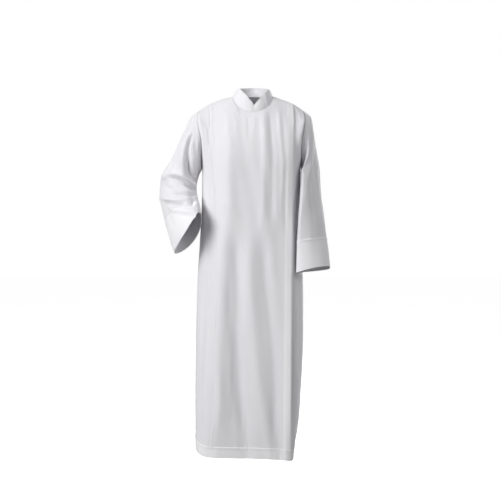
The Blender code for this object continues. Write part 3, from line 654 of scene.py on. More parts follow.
def startRelief(panel, fromTop, creases, face, seed, share=1.0):
    # a panel's outward directions, its places across, and its drawn creases with the slow drift on them
    outward = gridNormals(panel, -face)
    u = acrossOf(panel)
    height = creaseHeight(panel, outward, creases, (0, face, 0))
    started = smoothStep(0, bodyValues["driftStart"], fromTop)
    return outward, u, height + share * bodyValues["drift"] * softDrift(u, panel[:, :, 2], seed) * started


def raised(panel, outward, height):
    return panel + outward * height[:, :, None]


frontFolds = [
    fold(across=(-168, -172, -182, -186), z=(-500, -800, -1190, -1800), width=19, depth=-7),
    fold(across=(-106, -108, -117, -110, -124), z=(-460, -640, -1000, -1190, -1800), width=34, depth=10),
    fold(across=(-54, -52, -43, -26, -2, 6), z=(-520, -640, -1000, -1190, -1320, -1800),
         width=32, depth=-11.5),
    fold(across=(-6, -4, 22, 47, 74, 84), z=(-500, -640, -1000, -1190, -1320, -1800), width=31, depth=6.8),
    fold(across=(50, 56, 88, 107, 116), z=(-520, -640, -1000, -1190, -1800), width=29, depth=-8.5),
    fold(across=(158, 163, 166), z=(-500, -1000, -1800), width=40, depth=15.5),
    fold(across=(150, 160), z=(-20, -660), width=40, depth=10),
    fold(across=(-88, -85), z=(-90, -580), width=34, depth=9),
    fold(across=(122, 120), z=(-40, -500), width=10, depth=2.5),
    fold(across=(50, 46), z=(-30, -560), width=14, depth=3),
    fold(across=(84, 80), z=(-30, -560), width=17, depth=-5),
    fold(across=(-14, -10), z=(-60, -210), width=10, depth=-3),
    fold(across=(-108, -102), z=(-40, -220), width=14, depth=3),
]
backFolds = [
    fold(across=(-20, -30, -45), z=(-160, -700, -1800), width=24, depth=-11),
    fold(across=(45, 40, 30), z=(-340, -800, -1800), width=26, depth=10),
    fold(across=(-95, -105, -120), z=(-460, -900, -1800), width=22, depth=11),
    fold(across=(105, 110, 105), z=(-240, -800, -1800), width=22, depth=-12),
    fold(across=(-165, -170), z=(-700, -1800), width=20, depth=-8),
    fold(across=(160, 172), z=(-600, -1800), width=20, depth=8),
]
frontGrid, frontLevels = bodyHalf(-1, frontFolds)
backGrid, backLevels = bodyHalf(1, backFolds)

edgePoint = namedtuple("edgePoint", "z pleat closing")
panelEdges = [
    edgePoint(-0.050, pleat=-0.168, closing=0.167),
    edgePoint(-0.190, pleat=-0.160, closing=0.165),
    edgePoint(-0.310, pleat=-0.148, closing=0.161),
    edgePoint(-0.450, pleat=-0.139, closing=0.158),
    edgePoint(-0.610, pleat=-0.133, closing=0.157),
    edgePoint(-0.980, pleat=-0.140, closing=0.153),
    edgePoint(-1.270, pleat=-0.155, closing=0.151),
    edgePoint(-1.420, pleat=-0.162, closing=0.152),
]
rowMiddles = frontGrid[:, bodyValues["dense"] // 2, 2]
pleatLengths, closingLengths = (
    [lengthAtX(points, downTable(panelEdges, edge, z)) for points, z in zip(frontGrid, rowMiddles)]
    for edge in ("pleat", "closing"))
print("body surfaces worked out")


# front panel, lapped over the left side front
frontPanelValues = {
    "width": 0.335, "lap": 0.0033, "liftFromTo": (0.010, 0.088),
    "ridgeDrop": 0.0006, "liftedDrop": 0.0022, "flapDrop": 0.014, "flapFromTo": (0.084, 0.125),
    "neckDraw": 0.0012, "foldedEdge": 0.030, "foldedThickness": 0.0024, "foldSharp": 0.002,
    "pleatGap": 0.0001, "pleatPull": 0.0003, "pleatPulled": 0.012, "pleatPullLength": 0.05,
    "edgeRoll": 0.0009, "edgeRollWidth": 0.0022,
    "edgeRidge": 0.0006, "edgeRidgeAt": 0.006, "edgeRidgeWidth": 0.004,
    "edgePull": 0.0005, "edgePulled": 0.02, "edgePullLength": 0.16,
}
frontCreases = [
    crease(((12, -88), (10, -130), (8, -190)), width=6.5, depth=1.6, fade=(0.15, 0.5)),
    crease(((-14, -86), (-12, -135), (-12, -200)), width=7, depth=-1.8, fade=(0.15, 0.5)),
    crease(((30, -86), (29, -120), (30, -170)), width=6, depth=-1.2, fade=(0.15, 0.5)),
    crease(((-67, -70), (-58, -90), (-52, -108)), width=4.5, depth=-1.5),
    crease(((-52, -75), (-47, -92), (-40, -104)), width=4, depth=-1.2),
    crease(((-100, -58), (-94, -110), (-96, -180)), width=12, depth=1.8),
    crease(((-78, -100), (-70, -150), (-64, -230)), width=12, depth=-1.4),
    crease(((104, -52), (108, -110), (106, -190)), width=10, depth=2),
    crease(((122, -70), (126, -140), (124, -260)), width=10, depth=-1.8),
    crease(((-126, -290), (-90, -318), (-46, -330)), width=18, depth=1.4),
    crease(((-120, -420), (-80, -445), (-40, -490)), width=16, depth=1.6),
    crease(((20, -300), (60, -330), (110, -318)), width=20, depth=1.1),
    crease(((132, -250), (128, -400), (131, -560)), width=10, depth=-1.2),
    crease(((-128, -610), (-130, -760), (-140, -920)), width=12, depth=1),
    crease(((-82, -640), (-86, -780), (-88, -930)), width=11, depth=-1),
    crease(((-30, -700), (-24, -840), (-12, -980)), width=11, depth=1.1),
    crease(((26, -740), (42, -860), (52, -1010)), width=12, depth=-1, skew=0.2),
    crease(((-72, -1010), (-70, -1140), (-78, -1290)), width=12, depth=-1.2),
    crease(((-116, -1060), (-122, -1180), (-130, -1320)), width=10, depth=1.1),
    crease(((0, -1100), (16, -1220), (30, -1390)), width=12, depth=1.1, fade=(0.3, 0)),
    crease(((76, -1140), (82, -1240), (84, -1390)), width=10, depth=-1, fade=(0.3, 0)),
    crease(((118, -1110), (124, -1240), (122, -1360)), width=10, depth=-0.8),
    crease(((-150, -1262), (-165, -1300), (-176, -1335)), width=6, depth=-3, skew=0.3),
    crease(((-151, -1300), (-154, -1340), (-156, -1375)), width=5, depth=1.8),
    crease(((94, -1318), (100, -1340), (102, -1364)), width=5, depth=-1.4),
    crease(((-60, -1336), (-20, -1345), (20, -1344)), width=6, depth=-0.6),
]
v = frontPanelValues
frontStops = [(pleat + v["pleatGap"], closing) for pleat, closing in zip(pleatLengths, closingLengths)]
panel, fromPleat, fromClosing = cutPanel(frontGrid, frontStops, v["width"])
lift = smoothStep(*v["liftFromTo"], panel[:, :, 0])
onFlap = smoothStep(*v["flapFromTo"], panel[0, :, 0])
panel = raised(panel, gridNormals(panel, 1), v["lap"] * lift)
panel, fromTop = trimTop(panel, v["ridgeDrop"] + v["liftedDrop"] * lift[0] + v["flapDrop"] * onFlap)
inNeck = neckShare(panel)
openNeck(panel, fromTop, (v["neckDraw"] + v["liftedDrop"] * lift[0]) * inNeck)
outward, u, height = startRelief(panel, fromTop, frontCreases, -1, 11)
height += seamProfile(fromPleat, dip=0.5, ridge=1.7) * seamShown(panel)
height += seamProfile(fromTop, dip=0.8, ridge=1.2) * inNeck[None]
height += hemProfile(frontLevels, u, 12)
pleatPull = pucker(panel[:, :, 2], 13, v["pleatPullLength"])
height += v["pleatPull"] * ridgeAt(fromPleat, v["pleatPulled"]) * pleatPull
height -= v["edgeRoll"] * ridgeAt(fromClosing, v["edgeRollWidth"])
height += v["edgeRidge"] * ridgeAt(fromClosing - v["edgeRidgeAt"], v["edgeRidgeWidth"])
edgePull = pucker(panel[:, :, 2], 14, v["edgePullLength"])
height += v["edgePull"] * ridgeAt(fromClosing, v["edgePulled"]) * edgePull
frontPanelGrid = raised(panel, outward, height)
inHem = hemShare(frontLevels)
inFold = 1 - smoothStep(v["foldedEdge"] - v["foldSharp"], v["foldedEdge"], fromClosing)
frontPanel = layCloth("frontPanel", frontPanelGrid, panelCloth, bodyValues["cloth"],
                      np.maximum(inHem, inFold), v["foldedThickness"], replaces="front_panel")
print("front panel laid")


# side fronts, with a slit in the wearer's right side seam
sideFrontValues = {
    "rightWidth": 0.125, "leftWidth": 0.160, "ridgeDrop": 0.0006, "underEdge": 0.092,
    "slitTop": -0.470, "slitBottom": -0.630, "slitOpen": 0.012, "slitForward": 0.8, "slitReach": 0.020,
    "slitFold": (0.009, 0.011), "slitSharp": 4, "foldedThickness": 0.0022, "shownFromTo": (0.150, 0.170),
    "underFold": (0.018, 0.020), "underFoldShare": 0.3, "underThickness": 0.0019,
}
rightFrontCreases = [
    crease(((-172, -120), (-168, -165), (-164, -215)), width=6, depth=-3, skew=-0.3),
    crease(((-195, -180), (-180, -240), (-172, -330)), width=10, depth=2.6),
    crease(((-186, -300), (-170, -380), (-160, -470)), width=12, depth=-2.2),
    crease(((-176, -560), (-172, -700), (-176, -880)), width=10, depth=-2.4),
    crease(((-186, -860), (-190, -1020), (-196, -1200)), width=9, depth=2.2),
    crease(((-178, -1240), (-186, -1310), (-194, -1380)), width=7, depth=-2.4),
]
v = sideFrontValues
rightStops = [(bodyValues["edgeGap"], pleat - frontPanelValues["pleatGap"]) for pleat in pleatLengths]
panel, fromSide, fromPleat = cutPanel(frontGrid, rightStops, v["rightWidth"])
panel, fromTop = trimTop(panel, v["ridgeDrop"])
slitHere = np.sin(math.pi * np.clip((v["slitTop"] - panel[:, :, 2]) / (v["slitTop"] - v["slitBottom"]), 0, 1))
opened = v["slitOpen"] * slitHere * (1 - smoothStep(0, v["slitReach"], fromSide))
panel[:, :, 0] += opened
panel[:, :, 1] -= v["slitForward"] * opened
outward, u, height = startRelief(panel, fromTop, rightFrontCreases, -1, 21)
height += seamProfile(fromPleat, dip=1.3, ridge=0.3) * seamShown(panel)
height += seamProfile(fromSide, ridge=0.8) + seamProfile(fromTop) + hemProfile(frontLevels, u, 22)
nearSlit = np.clip(slitHere * v["slitSharp"], 0, 1) * (1 - smoothStep(*v["slitFold"], fromSide))
sideRightGrid = raised(panel, outward, height)
sideFrontRight = layCloth("sideFrontRight", sideRightGrid, sideCloth, bodyValues["cloth"],
                          np.maximum(inHem, nearSlit), v["foldedThickness"], replaces="front_side_right")

leftFrontCreases = [
    crease(((166, -170), (161, -420), (157, -700), (155, -1000), (153, -1350)),
           width=17, depth=-12, fade=(0.2, 0.12)),
    crease(((182, -240), (176, -420), (180, -600)), width=12, depth=-2),
    crease(((188, -700), (186, -900), (182, -1120)), width=10, depth=-2.8),
    crease(((172, -900), (168, -1120), (166, -1370)), width=9, depth=2.2, fade=(0.3, 0)),
]
underStops = [(lengthAtX(points, v["underEdge"]), arcLengths(points)[-1] - bodyValues["edgeGap"])
              for points in frontGrid]
panel, fromUnder, fromSide = cutPanel(frontGrid, underStops, v["leftWidth"])
panel, fromTop = trimTop(panel, v["ridgeDrop"])
shown = smoothStep(*v["shownFromTo"], panel[:, :, 0])
outward, u, height = startRelief(panel, fromTop, leftFrontCreases, -1, 31, shown)
height += seamProfile(fromSide) + seamProfile(fromTop, ridge=0.3) + hemProfile(frontLevels, u, 32) * shown
sideLeftGrid = raised(panel, outward, height)
inUnderFold = v["underFoldShare"] * (1 - smoothStep(*v["underFold"], fromUnder))
sideFrontLeft = layCloth("sideFrontLeft", sideLeftGrid, sideCloth, bodyValues["cloth"],
                         np.maximum(inHem, inUnderFold), v["underThickness"], replaces="front_side_left")
print("side fronts laid")


# back
backValues = {"width": 0.520, "ridgeDrop": 0.0006, "neckDraw": 0.0012, "driftShare": 1.3}
backCreases = [
    crease(((20, -30), (22, -120), (30, -260)), width=12, depth=2.2),
    crease(((-60, -20), (-55, -110), (-40, -220)), width=11, depth=-2),
    crease(((165, -120), (130, -210), (115, -330)), width=14, depth=-3.6, skew=0.2),
    crease(((-170, -110), (-140, -200), (-120, -340)), width=14, depth=-3.4, skew=-0.2),
    crease(((150, -180), (112, -280), (100, -420)), width=13, depth=3),
    crease(((-160, -190), (-128, -300), (-110, -430)), width=12, depth=3),
    crease(((-150, -400), (-90, -440), (-30, -430)), width=18, depth=2.4),
    crease(((150, -500), (90, -540), (30, -520)), width=18, depth=2.2),
    crease(((10, -620), (6, -860), (0, -1120)), width=11, depth=3.4),
    crease(((80, -700), (74, -960), (70, -1250)), width=12, depth=-3.6),
    crease(((-70, -780), (-76, -1000), (-84, -1300)), width=12, depth=-3.6),
    crease(((140, -860), (142, -1100), (138, -1390)), width=12, depth=3.4, fade=(0.3, 0)),
    crease(((-140, -940), (-150, -1140), (-154, -1390)), width=12, depth=3, fade=(0.3, 0)),
    crease(((180, -1000), (176, -1180), (172, -1360)), width=9, depth=-2.6),
]
v = backValues
gap = bodyValues["edgeGap"]
backStops = [(gap, arcLengths(points)[-1] - gap) for points in backGrid]
panel, fromRight, fromLeft = cutPanel(backGrid, backStops, v["width"])
panel, fromTop = trimTop(panel, v["ridgeDrop"])
openNeck(panel, fromTop, v["neckDraw"] * neckShare(panel))
outward, u, height = startRelief(panel, fromTop, backCreases, 1, 41, v["driftShare"])
height += seamProfile(fromRight) + seamProfile(fromLeft) + seamProfile(fromTop)
height += hemProfile(backLevels, u, 42)
backPanelGrid = raised(panel, outward, height)
backPanel = layCloth("backPanel", backPanelGrid[:, ::-1], backCloth, bodyValues["cloth"],
                     hemShare(backLevels), bodyValues["hem"], replaces="back")
print("back laid")


# sleeves
# outer and inner points of a ring, the reach to its front, and the bow of its front and back from the middle
ring = namedtuple("ring", "outer inner reach bow", defaults=((0.0, 0.0, 0.0),))
leftRings = [
    ring((240, 10, -86), (201, 0, -294), (0, -70, 0)),
    ring((247, 8, -128), (202.5, -1, -298), (-4, -77, 0)),
    ring((255, 5, -185), (203.5, -3, -305), (-14, -81, 0)),
    ring((262, -2, -250), (200.3, -8, -318), (-27, -85, 0)),
    ring((264, -14, -320), (200.4, -18, -352), (-30, -87, -1)),
    ring((267, -34, -388), (203, -27, -402), (-37, -86, -1)),
    ring((269, -53, -452), (206.5, -37, -464), (-46, -80, -1)),
    ring((274, -76, -533), (206.5, -48, -547), (-54, -73, -2)),
    ring((279, -100, -611), (206.5, -60, -631), (-60, -64, -3), (0, 0, -2)),
    ring((280, -119, -675), (206, -71, -699), (-63, -58, -4), (0, 0, -5)),
]
rightRings = [
    ring((-247, 10, -88), (-201.5, 0, -294), (0, -70, 0)),
    ring((-263, 10, -124), (-204, 0, -298), (0, -77, 0)),
    ring((-283, 12, -168), (-207.5, 0, -304), (0, -81, 1)),
    ring((-304, 18, -216), (-211.5, -1, -314), (0, -83, 3)),
    ring((-330, 30, -264), (-215, -5, -328), (0, -85, 5)),
    ring((-363, 46, -312), (-218, -12, -345), (-2, -86, 8)),
    ring((-371, 52, -362), (-219, -22, -362), (-4, -86, 10)),
    ring((-368, 44, -412), (-218, -36, -379), (-8, -85, 11)),
    ring((-355, 24, -462), (-215, -56, -396), (-13, -82, 11)),
    ring((-340, 0, -510), (-211, -78, -413), (-17, -78, 11)),
    ring((-325, -26, -556), (-206, -102, -431), (-18, -74, 10), (4, 0, -2)),
    ring((-311, -50, -598), (-202, -126, -450), (-18, -70, 9), (9, 0, -4)),
    ring((-300, -70, -625), (-200, -148, -468), (-17, -66, 9), (14, 0, -6)),
]
# a fold along a share of the sleeve's length, and around it in degrees: 0 outer, 90 front, 180 inner
sleeveFold = namedtuple("sleeveFold", "along around width depth")
leftSleeveFolds = [
    sleeveFold((0.1, 0.24, 0.42, 0.52), (52, 72, 92, 104), width=17, depth=-3),
    sleeveFold((0.3, 0.6, 1.0), (34, 42, 46), width=20, depth=2),
    sleeveFold((0.4, 0.7, 1.0), (-40, -50, -56), width=22, depth=-10),
    sleeveFold((0.2, 0.55, 0.95), (-95, -110, -118), width=20, depth=9),
]
rightSleeveFolds = [
    sleeveFold((0.1, 0.3, 0.42), (30, 34, 60), width=12, depth=-8),
    sleeveFold((0.12, 0.3, 0.42), (58, 84, 110), width=12, depth=7),
    sleeveFold((0.16, 0.34, 0.46), (90, 118, 150), width=12, depth=-9),
    sleeveFold((0.43, 0.46, 0.5), (12, 66, 118), width=12, depth=2),
    sleeveFold((0.485, 0.52, 0.56), (24, 78, 140), width=11, depth=-3),
    sleeveFold((0.58, 0.58, 0.58), (10, 60, 120), width=13, depth=2),
    sleeveFold((0.65, 0.645, 0.63), (38, 84, 130), width=11, depth=-2),
    sleeveFold((0.5, 0.55, 0.6), (-20, -70, -130), width=16, depth=-11),
    sleeveFold((0.62, 0.68, 0.74), (-16, -70, -130), width=16, depth=8),
    sleeveFold((0.16, 0.32, 0.44), (-40, -74, -110), width=16, depth=-9),
]
sleeveValues = {
    "out": 0.0014, "pitOut": 0.0022, "cuffHem": 0.120,
    "rowStep": 0.0042, "bentRowStep": 0.0032, "bentStep": 0.66,
    "headCalm": 0.08, "foldEnd": 0.12, "foldSteps": 25, "flatter": 1.3,
    "headRows": (0, 0.0008, 0.0018, 0.003, 0.0045, 0.0065, 0.009),
    "stitchRows": (-0.008, -0.005, -0.003, -0.0016, 0.0, 0.0016, 0.003, 0.005, 0.008, 0.012),
    "edgeRows": (0.006, 0.0035, 0.0018, 0.0007, 0.0),
    "cloth": 0.0011, "cuffThickness": 0.0021, "doubledSharp": 0.001,
    "drift": 0.0007, "driftAround": 0.06, "calmTo": 0.03, "girth": 0.45,
    "cuffRidge": 0.0015, "bentCuffRidge": 0.4, "cuffRidgeAt": 0.003, "cuffRidgeWidth": 0.0042,
    "cuffPinch": 0.0007, "cuffPinchAt": 0.0008, "cuffPinchWidth": 0.0014,
    "cuffPull": 0.00035, "cuffPulled": 0.014, "cuffPullLength": 0.03,
    "underSeam": 0.0009, "underSeamWidth": 0.003,
}


def sleeveRings(side, rings):
    # the armhole's own ring first, then the rings down the arm
    v = sleeveValues
    last = bodyValues["upperRows"]
    edge = 0 if side < 0 else -1
    downFront = frontGrid[:last + 1, edge]
    upBack = backGrid[:last + 1, edge][::-1]
    first = np.concatenate([downFront[:-1], upBack[:-1]])
    if side < 0:      # the bent sleeve has the small creases, so its columns lie closer
        fine = np.arange(0, len(first), v["bentStep"])
        closed = np.concatenate([first, first[:1]])
        first = readAlong(closed, np.arange(len(closed)), fine)
    towardPit = smoothStep(bodyValues["chestZ"] / 2, bodyValues["chestZ"], first[:, 2])
    first[:, 0] += side * (v["out"] + v["pitOut"] * towardPit)
    around = np.arange(len(first)) * 2 * math.pi / len(first)
    # the hanging sleeve lies flatter, with sharper front and back edges
    broad = (np.sign(np.cos(around)) * np.abs(np.cos(around)) ** (v["flatter"] if side > 0 else 1.0))[:, None]
    ahead = np.sin(around)[:, None]
    rows = [first]
    for one in rings:
        outer, inner, reach, bow = (np.array(corner) * millimetre for corner in one)
        rows.append((outer + inner) / 2 + broad * (outer - inner) / 2 + ahead * reach + ahead**2 * bow)
    return np.array(rows)


def sleevePlaces(whole, side):
    # how far along the sleeve its rows lie, closer at the seam, the stitched line and the edge
    v = sleeveValues
    hemAt = whole - v["cuffHem"]
    rowStep = v["bentRowStep"] if side < 0 else v["rowStep"]
    head = np.array(v["headRows"])
    upper = np.linspace(head[-1], hemAt + v["stitchRows"][0], round((hemAt - head[-1]) / rowStep))[1:-1]
    lower = np.linspace(hemAt + v["stitchRows"][-1], whole - v["edgeRows"][0],
                        round(v["cuffHem"] / rowStep))[1:-1]
    stitched = hemAt + np.array(v["stitchRows"])
    return np.concatenate([head, upper, stitched, lower, whole - np.array(v["edgeRows"])])


def sleeveSurface(side, rings, folds):
    v = sleeveValues
    rows = sleeveRings(side, rings)
    columns = rows.shape[1]
    spine = arcLengths(rows.mean(axis=1))
    whole = spine[-1]
    knots = spine / whole
    flat = rows.reshape(len(rows), -1)
    along = sleevePlaces(whole, side) / whole
    surface = easedCurve(knots, flat, along).reshape(len(along), columns, 3)
    outward = sleeveOutward(surface, side)
    height = np.zeros(surface.shape[:2])
    steps = np.linspace(0, 1, v["foldSteps"])
    for one in folds:
        lineAlong = easedCurve(np.linspace(0, 1, len(one.along)), one.along, steps)
        lineAround = easedCurve(np.linspace(0, 1, len(one.around)), one.around, steps)
        near = np.full(surface.shape[:2], np.inf)
        strength = np.zeros(surface.shape[:2])
        for a, degrees, t in zip(lineAlong, lineAround, steps):
            ringPoints = easedCurve(knots, flat, np.array([a])).reshape(columns, 3)
            place = degrees / 360 * columns
            low = int(math.floor(place))
            part = place - low
            spot = ringPoints[low % columns] * (1 - part) + ringPoints[(low + 1) % columns] * part
            distance = np.linalg.norm(surface - spot, axis=2)
            closer = distance < near
            near = np.where(closer, distance, near)
            swell = math.sin(math.pi * (v["foldEnd"] + (1 - 2 * v["foldEnd"]) * t))
            strength = np.where(closer, swell, strength)
        height += one.depth * millimetre * foldBell(near / (one.width * millimetre)) * strength
    height *= smoothStep(0.0, v["headCalm"], along)[:, None]
    return raised(surface, outward, height), outward, along * whole, whole


def sleeveOutward(surface, side):
    closed = np.concatenate([surface[:, -1:], surface, surface[:, :1]], axis=1)
    return -side * gridNormals(closed, 1)[:, 1:-1]


def laySleeve(name, side, rings, folds, creases, node, seed):
    v = sleeveValues
    surface, outward, along, whole = sleeveSurface(side, rings, folds)
    height = np.zeros(surface.shape[:2])
    directions = {"front": (0, -1, 0), "back": (0, 1, 0), "outer": (side, 0, 0)}
    for facing, lines in creases.items():
        height += creaseHeight(surface, outward, lines, directions[facing])
    calm = smoothStep(0.0, v["calmTo"], along)[:, None]
    turn = np.arange(surface.shape[1]) / surface.shape[1]
    for again, wound in enumerate((np.sin(2 * math.pi * turn), np.cos(2 * math.pi * turn))):
        height += v["drift"] / 2 * softDrift(v["driftAround"] * wound[None], along[:, None], seed + again)
    height = height * calm + seamProfile(along, dip=1.0, ridge=2.0)[:, None]
    away = along - (whole - v["cuffHem"])
    ridge = v["cuffRidge"] * (v["bentCuffRidge"] if side < 0 else 1.0)
    height += ridge * ridgeAt(away - v["cuffRidgeAt"], v["cuffRidgeWidth"])[:, None]
    height -= v["cuffPinch"] * ridgeAt(away + v["cuffPinchAt"], v["cuffPinchWidth"])[:, None]
    pull = v["cuffPull"] * pucker(turn[None] * v["girth"], seed + 2, v["cuffPullLength"])
    height += ridgeAt(away, v["cuffPulled"])[:, None] * pull
    height -= v["underSeam"] * ridgeAt((turn - 0.5) * v["girth"], v["underSeamWidth"])[None] * calm
    surface = raised(surface, outward, height)
    doubled = smoothStep(-v["doubledSharp"], v["doubledSharp"], away)
    grid = surface if side < 0 else surface[:, ::-1]
    piece = layCloth(name, grid, sleeveCloth, v["cloth"], np.broadcast_to(doubled[:, None], grid.shape[:2]),
                     v["cuffThickness"], ring=True, replaces=node)
    return piece, surface, outward, along, whole


rightSleeveCreases = {
    "front": [
        crease(((-249, -149), (-265, -189), (-274, -228), (-273, -263), (-268, -298)), width=14, depth=6.6),
        crease(((-229, -142), (-243, -181), (-252, -220), (-251, -259),
                (-243, -294), (-226, -326), (-206, -349)),
               width=10, depth=-11),
        crease(((-206, -110), (-210, -173), (-212, -228), (-210, -283)), width=8, depth=4),
        crease(((-296, -181), (-308, -220), (-320, -259)), width=12, depth=-3.4),
        crease(((-357, -332), (-331, -316), (-304, -313), (-276, -321),
                (-247, -338), (-221, -358), (-204, -377)),
               width=9.5, depth=9.4, fade=(0.12, 0.1)),
        crease(((-331, -334), (-304, -334), (-280, -342), (-257, -353),
                (-233, -366), (-214, -379), (-202, -392)),
               width=8.5, depth=-12.6, fade=(0.35, 0.1)),
        crease(((-335, -349), (-312, -361), (-288, -374), (-261, -381), (-233, -384)), width=9, depth=5.4),
        crease(((-324, -383), (-296, -395), (-269, -401), (-241, -399), (-218, -390)),
               width=8.5, depth=-9.8, fade=(0.35, 0.15)),
        crease(((-359, -406), (-327, -414), (-296, -418), (-269, -418), (-245, -414), (-222, -406)),
               width=8, depth=8, fade=(0.15, 0.2)),
        crease(((-351, -430), (-324, -434), (-292, -437), (-265, -440), (-241, -436), (-214, -420)),
               width=10, depth=-12.4, fade=(0.45, 0.1)),
        crease(((-327, -449), (-296, -457), (-265, -461), (-233, -462), (-206, -459)), width=10, depth=6),
        crease(((-280, -477), (-253, -481), (-226, -483), (-202, -483)), width=9, depth=-5.2, fade=(0.4, 0)),
        crease(((-343, -428), (-327, -463), (-312, -502), (-304, -534)), width=12, depth=-3.4),
        crease(((-273, -345), (-253, -354), (-233, -365), (-214, -378)),
               width=5, depth=-7.8, sharp=1.7, fade=(0.4, 0.1)),
        crease(((-247, -271), (-240, -298), (-224, -326), (-206, -348)),
               width=6, depth=-6.4, sharp=1.7, fade=(0.4, 0.1)),
        crease(((-273, -403), (-249, -405), (-229, -400), (-214, -390)),
               width=4.8, depth=-6, sharp=1.7, fade=(0.4, 0.1)),
        crease(((-265, -443), (-241, -441), (-218, -428)), width=6.5, depth=-6.6, sharp=1.7, fade=(0.4, 0.1)),
    ],
    "back": [
        crease(((-240, -110), (-268, -170), (-300, -240)), width=12, depth=4),
        crease(((-225, -180), (-250, -240), (-285, -300)), width=10, depth=-4.6),
        crease(((-345, -320), (-300, -350), (-250, -350)), width=10, depth=-6.4, sharp=1.7),
        crease(((-350, -370), (-310, -390), (-265, -385)), width=11, depth=4.8),
        crease(((-345, -430), (-310, -440), (-280, -430)), width=10, depth=-5),
        crease(((-325, -480), (-300, -500), (-275, -505)), width=14, depth=2.8),
    ],
    "outer": [
        crease(((10, -310), (30, -345), (70, -372)), width=9, depth=-4),
        crease(((30, -420), (50, -400), (85, -405)), width=10, depth=3.6),
    ],
}
leftSleeveCreases = {
    "front": [
        crease(((232, -105), (228, -170), (220, -235), (212, -300)), width=10, depth=-3.4),
        crease(((214, -96), (212, -160), (206, -230)), width=7, depth=4),
        crease(((248, -110), (244, -190), (236, -270), (228, -340)), width=10, depth=3.4),
        crease(((252, -150), (250, -230), (246, -330)), width=11, depth=-2.6),
        crease(((262, -240), (262, -340), (258, -440)), width=11, depth=2.6),
        crease(((228, -330), (232, -400), (240, -480)), width=10, depth=-2.8),
        crease(((206, -100), (214, -112), (226, -116)), width=5, depth=-1.8),
        crease(((206, -78), (216, -88), (228, -90)), width=5, depth=-1.6),
        crease(((250, -420), (252, -500), (250, -570)), width=12, depth=2),
    ],
    "back": [
        crease(((226, -120), (232, -200), (226, -300)), width=10, depth=-4),
        crease(((244, -160), (248, -260), (244, -380)), width=11, depth=3.6),
        crease(((262, -280), (262, -400), (256, -520)), width=12, depth=-3.4),
        crease(((232, -360), (236, -460), (244, -580)), width=12, depth=3.2),
    ],
    "outer": [
        crease(((-30, -200), (-40, -330), (-60, -470)), width=14, depth=-3),
        crease(((30, -240), (20, -360), (0, -500)), width=14, depth=3),
    ],
}
rightSleeve, *rightLaid = laySleeve(
    "rightSleeve", -1, rightRings, rightSleeveFolds, rightSleeveCreases, "sleeve_right", 51)
leftSleeve, *leftLaid = laySleeve(
    "leftSleeve", 1, leftRings, leftSleeveFolds, leftSleeveCreases, "sleeve_left", 61)
print("sleeves laid")


# stand collar, wound once round the neck with its end lapped over its start
collarValues = {
    "topHalf": 0.063, "topY": 0.068, "sideZ": 0.030, "backZ": 0.046,
    "vZ": -0.0425, "vX": 0.005, "vCurve": 1.15,
    "lift": -0.0004, "start": 72.0, "overlap": 28.4, "spiral": 0.0031, "bow": 0.0015,
    "columns": 230, "rows": 26, "cloth": 0.0017,
    "stitchAt": 0.0045, "stitchDip": 0.0005, "stitchDipWidth": 0.0012,
    "rimRidge": 0.0003, "rimAt": 0.002, "rimWidth": 0.0014, "baseDip": 0.0006, "baseWidth": 0.0018,
    "drift": 0.00035, "driftSquash": 3, "pull": 0.00025, "pulled": 0.004, "pullLength": 0.018,
}


def layCollar():
    v = collarValues
    b = bodyValues
    turn = np.linspace(v["start"], v["start"] - 360 - v["overlap"], v["columns"])
    side = np.sin(np.radians(turn))
    ahead = np.cos(np.radians(turn))
    base = np.zeros((len(turn), 3))
    for face, grid in ((-1, frontGrid), (1, backGrid)):
        square = "frontSquare" if face < 0 else "backSquare"
        width, _ = superellipse(downTable(bodySections, square, b["chestZ"]))
        x = b["neckX"] + b["neckHalf"] * side
        picked = ahead >= 0 if face < 0 else ahead < 0
        base[picked] = readAlong(grid[0], width * b["tipX"], x[picked])
    wound = np.linspace(-0.5, 0.5, len(turn)) * v["spiral"]
    topX = b["neckX"] + v["topHalf"] * side
    towardV = np.clip(1 - np.abs(topX - b["neckX"] - v["vX"]) / v["topHalf"], 0, 1)
    frontZ = v["sideZ"] + (v["vZ"] - v["sideZ"]) * towardV ** v["vCurve"]
    backZ = v["sideZ"] + (v["backZ"] - v["sideZ"]) * -ahead
    top = np.stack([topX, -v["topY"] * ahead, np.where(ahead > 0, frontZ, backZ)], axis=1)
    outward = np.stack([side, -ahead, 0 * side], axis=1)
    ease = (1 - np.cos(np.linspace(0, math.pi, v["rows"] + 1))) / 2      # rows lie closer at both edges
    rows = []
    for up in 1 - ease:
        row = base * (1 - up) + top * up + outward * (wound + v["bow"] * math.sin(math.pi * up))[:, None]
        row[:, 2] += v["lift"] * (1 - up)
        rows.append(row)
    grid = np.array(rows)
    tall = np.linalg.norm(grid[0] - grid[-1], axis=1)
    fromTop = ease[:, None] * tall[None]
    fromBase = tall[None] - fromTop
    length = arcLengths(grid[-1])[None]
    stitched = fromTop - v["stitchAt"]
    height = v["rimRidge"] * ridgeAt(fromTop - v["rimAt"], v["rimWidth"])
    height -= v["stitchDip"] * ridgeAt(stitched, v["stitchDipWidth"])
    height -= v["baseDip"] * ridgeAt(fromBase, v["baseWidth"])
    height += v["drift"] * softDrift(length, fromTop * v["driftSquash"], 71)
    height += v["pull"] * pucker(length, 72, v["pullLength"]) * ridgeAt(stitched, v["pulled"])
    grid = grid + outward[None] * height[:, :, None]
    piece = layCloth("standCollar", grid[:, ::-1], collarCloth, v["cloth"], None, None, replaces="collar")
    return piece, grid, outward


standCollar, collarGrid, collarOutward = layCollar()
print("collar laid")


# stitches
stitchValues = {
    "length": 0.0026, "pitch": 0.0039, "thick": 0.00042, "sides": 6, "rings": 5,
    "sink": 0.00012, "blunt": 0.6, "shownFrom": 0.158,
}


